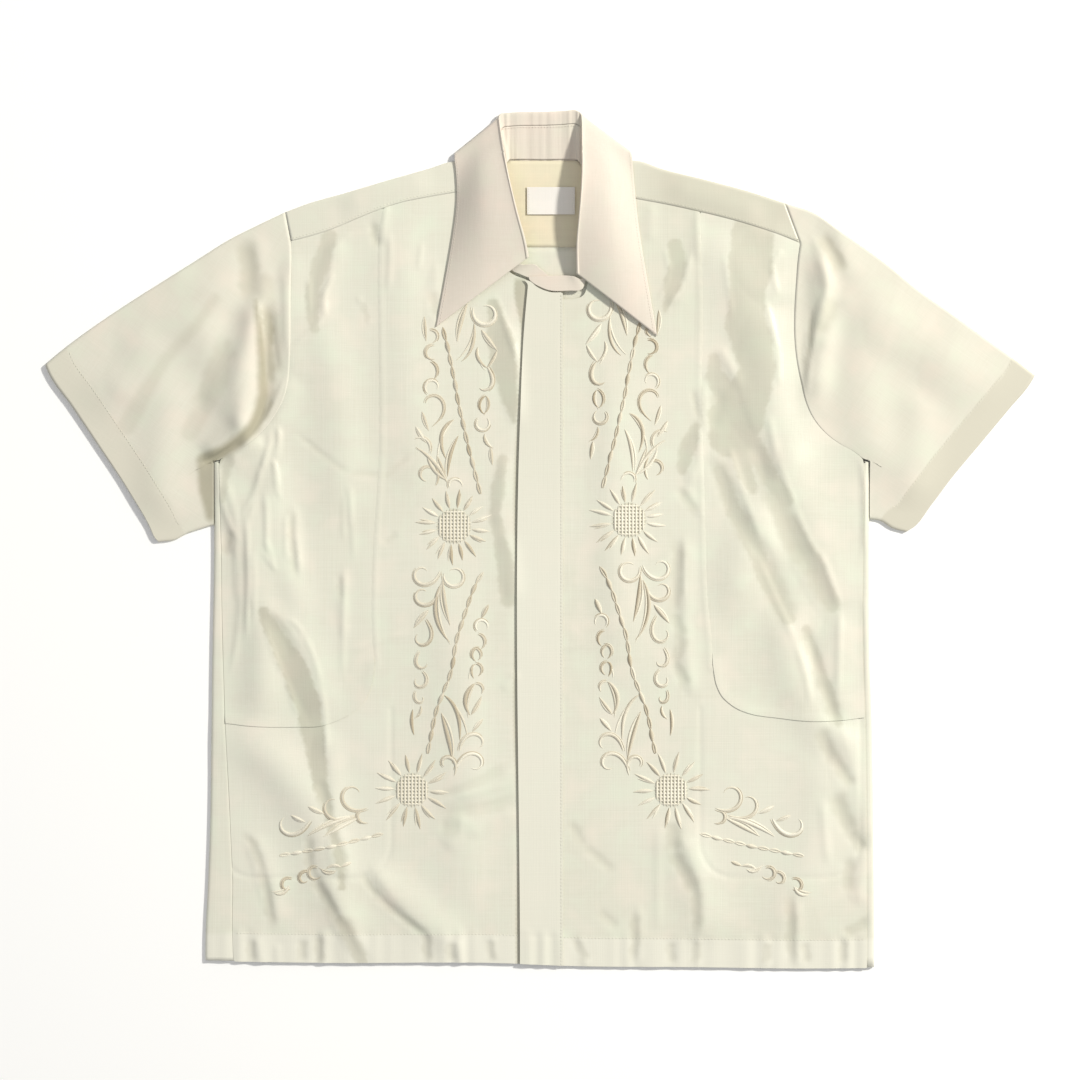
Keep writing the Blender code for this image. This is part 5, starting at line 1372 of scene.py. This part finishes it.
class Needlework:
    """Satin-stitched strokes gathered into one piece."""

    def __init__(self, side):
        self.side = side
        self.verts, self.faces, self.uvs, self.tones_and_painted_sheen = [], [], [], []
        self.chance = np.random.default_rng(7 if side == "left" else 11)

    def stroke(self, points, width, full=0.75, lift=0.0, tone=None):
        """A padded stroke along points, pointed at both ends."""
        line = mirrored(self.side, np.asarray(points))
        count = len(line)
        s = np.linspace(0, 1, count)
        half = width / 2 * np.maximum(np.sin(math.pi * s ** 0.85), 0) ** full + 0.18
        ahead = np.gradient(line, axis=0)
        ahead /= np.linalg.norm(ahead, axis=1)[:, None] + 1e-9
        across = np.column_stack([-ahead[:, 1], ahead[:, 0]])
        base = self.height(line[:, 0], line[:, 1]) + lift
        first = len(self.verts)
        run = lengths(line)
        # Painted sheen and shade: upright strokes darker and flat ones paler, by how satin thread catches the light,
        # with random tone on top.
        flat = abs(float((line[-1] - line[0])[0])) / (np.linalg.norm(line[-1] - line[0]) + 1e-6)
        if tone is None:
            tone = 0.75 - 0.6 * flat + self.chance.normal(0, 0.12)
        for k in range(count):
            for a, h in SECTION_ACROSS:
                x, y = line[k] + across[k] * a * half[k]
                self.verts.append((x, y, base[k] + h * (0.2 + half[k] * 0.5) - 0.05))
                self.uvs.append((run[k], (a + 1) / 2))
                # Painted shade on one side of each stroke and painted light on the other, by which way it runs.
                self.tones_and_painted_sheen.append(float(np.clip(tone + 0.25 * a * sign(self.side) * ahead[k, 1], 0, 1)))
        ring = len(SECTION_ACROSS)
        for k in range(count - 1):
            for i in range(ring):
                a, b = first + k * ring + i, first + k * ring + (i + 1) % ring
                self.faces.append((a, a + ring, b + ring, b))
        self.faces.append(tuple(first + i for i in range(ring)))
        self.faces.append(tuple(first + (count - 1) * ring + i for i in reversed(range(ring))))

    def height(self, x, y):
        return front_height(self.side)(x, y)

    def frond(self, out, y, heading, length, bend, curl, width):
        """A stroke, with a thinner one beside it: a leaf's other half, or a curl's outline."""
        count = max(6, int(length / 2.4), int(abs(bend) / 18))
        turn, at = self.chance.normal(0, 2.0), self.chance.normal(0, 0.3, 2)
        line = spine((out + at[0], y + at[1]), heading + turn, length, bend, curl, count)
        self.stroke(line, width)
        lean = -1 if bend > 0 else 1
        if abs(bend) < 120:
            chord = heading + turn + bend / 2
            other = spine(line[0], chord + lean * 24, length, -lean * 48, 0, count)
            self.stroke(other, width * 0.5, tone=self.chance.uniform(0, 0.35))
        else:
            outline = beside(line, lean * (width * 0.35 + 0.75))[:max(4, int(count * 0.8))]
            self.stroke(outline, 0.9, tone=self.chance.uniform(0.3, 0.7))

    def bead_chain(self, points, count, width):
        """Lens-shaped beads, fat and thin by turns, tip to tip along a line."""
        line = curve(points, 1.0)
        stops = np.linspace(0, 1, count + 1)
        for k in range(count):
            part = along(line, np.linspace(stops[k], stops[k + 1] + 0.012, 7))
            ahead = part[-1] - part[0]
            aside = np.array([-ahead[1], ahead[0]]) / np.linalg.norm(ahead)
            bow = np.sin(np.linspace(0, math.pi, 7))[:, None] * aside
            if k % 3 == 1:
                self.stroke(part, width, full=1.1)
            else:
                self.stroke(part + bow * 1.3, width * 0.45)
                self.stroke(part - bow * 0.9, width * 0.35)

    def sunflower(self, out, y, disc, petals, reach, turn):
        """Petals round a disc of drawn threadwork."""
        for k in range(petals):
            angle = turn + 360 * k / petals + self.chance.normal(0, 2.5)
            a = math.radians(angle)
            start = (out + math.cos(a) * (disc + 1.0), y + math.sin(a) * (disc + 1.0))
            length = reach * (1 + self.chance.normal(0, 0.08))
            self.stroke(spine(start, angle - 4, length, self.chance.normal(6, 9), 0, 7), 3.0, full=1.0)
            side_by = spine(start, angle + 9, length * 0.8, self.chance.normal(-12, 6), 0, 6)
            self.stroke(side_by, 1.7, full=1.0, tone=self.chance.uniform(0, 0.4))
        pitch = 3.1
        for k in range(-4, 5):
            reach_k = math.sqrt(max(0, disc ** 2 - (k * pitch) ** 2)) + 0.6
            bar = np.linspace(-reach_k, reach_k, 9)
            cross = np.full(9, k * pitch)
            self.stroke(np.column_stack([out + bar, y + cross]), 1.7, full=0.25, tone=0.12)
            self.stroke(np.column_stack([out + cross, y + bar]), 1.7, full=0.25, lift=0.25, tone=0.12)

    def piece(self):
        name = "embroidery_" + self.side
        work = make(name, self.verts, self.faces, None, THREAD, masks={"tone": self.tones_and_painted_sheen})
        layer = work.data.uv_layers.new(name="thread")
        loops = np.zeros(len(work.data.loops), int)
        work.data.loops.foreach_get("vertex_index", loops)
        layer.data.foreach_set("uv", np.array(self.uvs)[loops].ravel())
        return work


def thread_finish():
    """Silk thread laid side by side across each stroke."""
    material, tree, shader = finish("thread")
    uv = tree.nodes.new("ShaderNodeUVMap")
    uv.uv_map = "thread"
    strands = tree.nodes.new("ShaderNodeTexWave")
    strands.bands_direction = "X"
    strands.inputs["Scale"].default_value = 0.9
    strands.inputs["Distortion"].default_value = 1.2
    tree.links.new(uv.outputs[0], strands.inputs["Vector"])
    where = tree.nodes.new("ShaderNodeTexCoord").outputs["Object"]
    wander = noise(tree, where, 60, 1)
    tone = math_node(tree, "ADD", mask(tree, "tone"), math_node(tree, "MULTIPLY", wander, 0.3))
    tone = math_node(tree, "SUBTRACT", tone, math_node(tree, "MULTIPLY", strands.outputs["Fac"], 0.22), clamp=True)
    # The pale and the dark colour are lit and shaded copies of the thread, mixed by the strokes' painted sheen and
    # shade.
    colour = mixed(tree, tone, (0.86, 0.82, 0.69, 1), (0.43, 0.355, 0.235, 1))
    tree.links.new(colour, shader.inputs["Base Color"])
    shader.inputs["Roughness"].default_value = 0.45
    shader.inputs["Sheen Weight"].default_value = 0.2
    relief(tree, shader, strands.outputs["Fac"], 0.4, 0.0002)
    return material


THREAD = thread_finish()
for side in ("left", "right"):
    work = Needlework(side)
    for row in FRONDS:
        work.frond(*row)
    for points, count, width in BEADS:
        work.bead_chain(points, count, width)
    for row in SUNFLOWERS:
        work.sunflower(*row)
    work.piece()


# Sewing

def stitch_tree():
    """Stitches set a pitch apart along curves."""
    tree = bpy.data.node_groups.new("stitch_row", "GeometryNodeTree")
    link = tree.links.new
    for label, kind, default in (("Rows", "NodeSocketGeometry", None), ("Pitch", "NodeSocketFloat", 0.003),
                                 ("Length", "NodeSocketFloat", 0.002), ("Thickness", "NodeSocketFloat", 0.0004),
                                 ("Thread", "NodeSocketMaterial", None)):
        socket = tree.interface.new_socket(label, in_out="INPUT", socket_type=kind)
        if default:
            socket.default_value = default
    tree.interface.new_socket("Stitches", in_out="OUTPUT", socket_type="NodeSocketGeometry")
    given, out = tree.nodes.new("NodeGroupInput"), tree.nodes.new("NodeGroupOutput")
    spaced = tree.nodes.new("GeometryNodeResampleCurve")
    spaced.mode = "LENGTH"
    link(given.outputs["Rows"], spaced.inputs["Curve"])
    link(given.outputs["Pitch"], spaced.inputs["Length"])
    size = tree.nodes.new("ShaderNodeCombineXYZ")
    link(given.outputs["Length"], size.inputs["X"])
    link(given.outputs["Thickness"], size.inputs["Y"])
    link(given.outputs["Thickness"], size.inputs["Z"])
    block = tree.nodes.new("GeometryNodeMeshCube")
    link(size.outputs[0], block.inputs["Size"])
    round_off = tree.nodes.new("GeometryNodeSubdivisionSurface")
    round_off.inputs["Level"].default_value = 1
    link(block.outputs["Mesh"], round_off.inputs["Mesh"])
    tangent = tree.nodes.new("GeometryNodeInputTangent")
    turn = tree.nodes.new("FunctionNodeAlignRotationToVector")
    turn.axis = "X"
    link(tangent.outputs[0], turn.inputs["Vector"])
    put = tree.nodes.new("GeometryNodeInstanceOnPoints")
    link(spaced.outputs[0], put.inputs["Points"])
    link(round_off.outputs[0], put.inputs["Instance"])
    link(turn.outputs[0], put.inputs["Rotation"])
    real = tree.nodes.new("GeometryNodeRealizeInstances")
    link(put.outputs[0], real.inputs[0])
    dressed = tree.nodes.new("GeometryNodeSetMaterial")
    link(real.outputs[0], dressed.inputs["Geometry"])
    link(given.outputs["Thread"], dressed.inputs["Material"])
    link(dressed.outputs[0], out.inputs[0])
    return tree


STITCHES = stitch_tree()


def sew(name, rows, material, pitch=3.0, length=2.1, thick=0.5):
    """Rows of stitches along lines of points in millimetres, as one plain mesh."""
    data = bpy.data.curves.new(name + "_rows", "CURVE")
    data.dimensions = "3D"
    for row in rows:
        line = data.splines.new("POLY")
        line.points.add(len(row) - 1)
        line.points.foreach_set("co", np.column_stack([np.asarray(row) * MM, np.ones(len(row))]).ravel())
    path = add_object(name + "_rows", data)
    maker = path.modifiers.new("stitches", "NODES")
    ids = {item.name: item.identifier for item in STITCHES.interface.items_tree}
    maker.node_group = STITCHES
    maker[ids["Pitch"]] = pitch * MM
    maker[ids["Length"]] = length * MM
    maker[ids["Thickness"]] = thick * MM
    maker[ids["Thread"]] = material
    mesh = bpy.data.meshes.new_from_object(path.evaluated_get(bpy.context.evaluated_depsgraph_get()))
    bpy.data.objects.remove(path)
    mesh.name = name
    mesh.shade_smooth()
    piece = add_object(name, mesh)
    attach(piece, "root")
    return piece


def on(line, height, lift=0.12):
    """A row's points lifted onto the cloth that it sews."""
    x, y = line[:, 0], line[:, 1]
    return np.column_stack([x, y, height(x, y) + lift])


rows = []
for side in ("left", "right"):
    s = sign(side)
    x = np.arange(18.0 if side == "right" else 6.0, 268 if side == "left" else 286, 2.0) * s
    if side == "left":
        x = x[x < PLACKET_LEFT[-1][0] - 2]
    else:
        x = x[x > PLACKET_RIGHT_X + 1]
    foot = np.column_stack([x, hem_y(x) + HEM_WIDE])
    rows.append(on(foot, front_height(side)))
    rows.append(on(beside(yoke_front[side], YOKE_SEAM + 2.2), skin))
    rows.append(on(cuff_line(side), skin))
rows.append(on(fly_line, placket_height))
x = np.arange(-26.0, 36.0, 2.0)
rows.append(np.column_stack([x, np.full_like(x, 326.0), leaf_room(x, np.full_like(x, 326.0)) + 0.15]))
sew("seam_stitches", rows, BODY)
rows = []
order = ("edge", "middle", "outer")
ribs = np.stack([curves[name] for name in order], axis=1)
for span in ((0, 7.2), (16.8, 24)):
    across = catmull(ribs, np.linspace(*span, 90))
    row = np.array([catmull(points, 0.13)[0] for points in across])
    rows.append(row + (0, 0, CLOTH / 2 + 0.1))
across = catmull(np.stack([curves["band"], curves["waist"]], axis=1), np.linspace(9, 15, 60))
row = np.array([catmull(points, 0.15)[0] for points in across])
rows.append(row + (0, 0, 0.9))
sew("collar_stitches", rows, COLLAR_CLOTH, pitch=2.6, length=1.9)
y = LABEL_AT[1] + np.linspace(-10.5, 10.5, 12)
rows = [np.column_stack([np.full_like(y, LABEL_AT[0] + a * 19.2), y,
                         label_height(np.full_like(y, LABEL_AT[0] + a * 19.2), y) + 0.1]) for a in (-1, 1)]
sew("label_stitches", rows, LABEL_CLOTH, pitch=2.2, length=1.5)


# Table, light and camera

plain, _, surface = finish("table")
for socket, value in (("Base Color", (0.97, 0.97, 0.97, 1)), ("Roughness", 0.9), ("Specular IOR Level", 0.1)):
    surface.inputs[socket].default_value = value
table = bpy.data.meshes.new("table")
table.from_pydata([(-3, -3, 0), (3, -3, 0), (3, 3, 0), (-3, 3, 0)], [], [(0, 1, 2, 3)])
table.materials.append(plain)
floor = add_object("table", table)


def area_light(name, place, size, energy, colour):
    light = bpy.data.lights.new(name, "AREA")
    light.shape = "DISK"
    light.size = size
    light.energy = energy
    light.color = colour
    lamp = bpy.data.objects.new(name, light)
    lamp.location = place
    lamp.rotation_euler = (-Vector(place)).to_track_quat("-Z", "Y").to_euler()
    bpy.context.scene.collection.objects.link(lamp)


area_light("window", (3.3, 2.0, 2.7), 0.45, 245, (1.0, 0.974, 0.895))
area_light("sky", (-1.0, -0.4, 2.4), 2.2, 6, (0.97, 0.98, 1.0))
world = bpy.data.worlds.new("room")
world.use_nodes = True
world.node_tree.nodes["Background"].inputs["Color"].default_value = (1.0, 1.0, 1.0, 1)
world.node_tree.nodes["Background"].inputs["Strength"].default_value = 0.45
bpy.context.scene.world = world
bpy.context.scene.view_settings.view_transform = "Standard"

# The camera's place, its sensor in millimetres, and the breadth of the picture at a reach from it, in metres
CAMERA_AT = (0, -0.00088, 2.6)
SENSOR = 36
PICTURE_REACH, PICTURE_BROAD = 2.596, 0.9504
camera = add_object("camera", bpy.data.cameras.new("camera"))
camera.location = CAMERA_AT
camera.data.sensor_width = SENSOR
camera.data.lens = SENSOR * PICTURE_REACH / PICTURE_BROAD
camera.data.clip_end = 20
bpy.context.scene.camera = camera

# Each piece's cut: width, length, flat area in square metres, and what it lies on
CUTS = {
    "back": (0.620, 0.640, 0.351, ()),
    "yoke": (0.452, 0.112, 0.0372, ("back",)),
    "front_left": (0.295, 0.690, 0.126, ("back", "pouch_left")),
    "front_right": (0.288, 0.690, 0.120, ("back", "pouch_right")),
    "side_left": (0.147, 0.462, 0.0477, ("back",)),
    "side_right": (0.148, 0.452, 0.0488, ("back",)),
    "pouch_left": (0.151, 0.148, 0.0220, ("back",)),
    "pouch_right": (0.141, 0.148, 0.0205, ("back",)),
    "placket": (0.038, 0.605, 0.0222, ("front_left", "front_right")),
    "sleeve_left": (0.460, 0.250, 0.0641, ()),
    "sleeve_right": (0.460, 0.240, 0.0577, ()),
    "collar_leaf": (0.470, 0.105, 0.0253, ("collar_stand", "front_left", "front_right")),
    "collar_stand": (0.300, 0.042, 0.0053, ("yoke",)),
    "label": (0.042, 0.0241, 0.00101, ("yoke",)),
}
for node, (width, length, area, under) in CUTS.items():
    [name + "_cloth" for name in under]
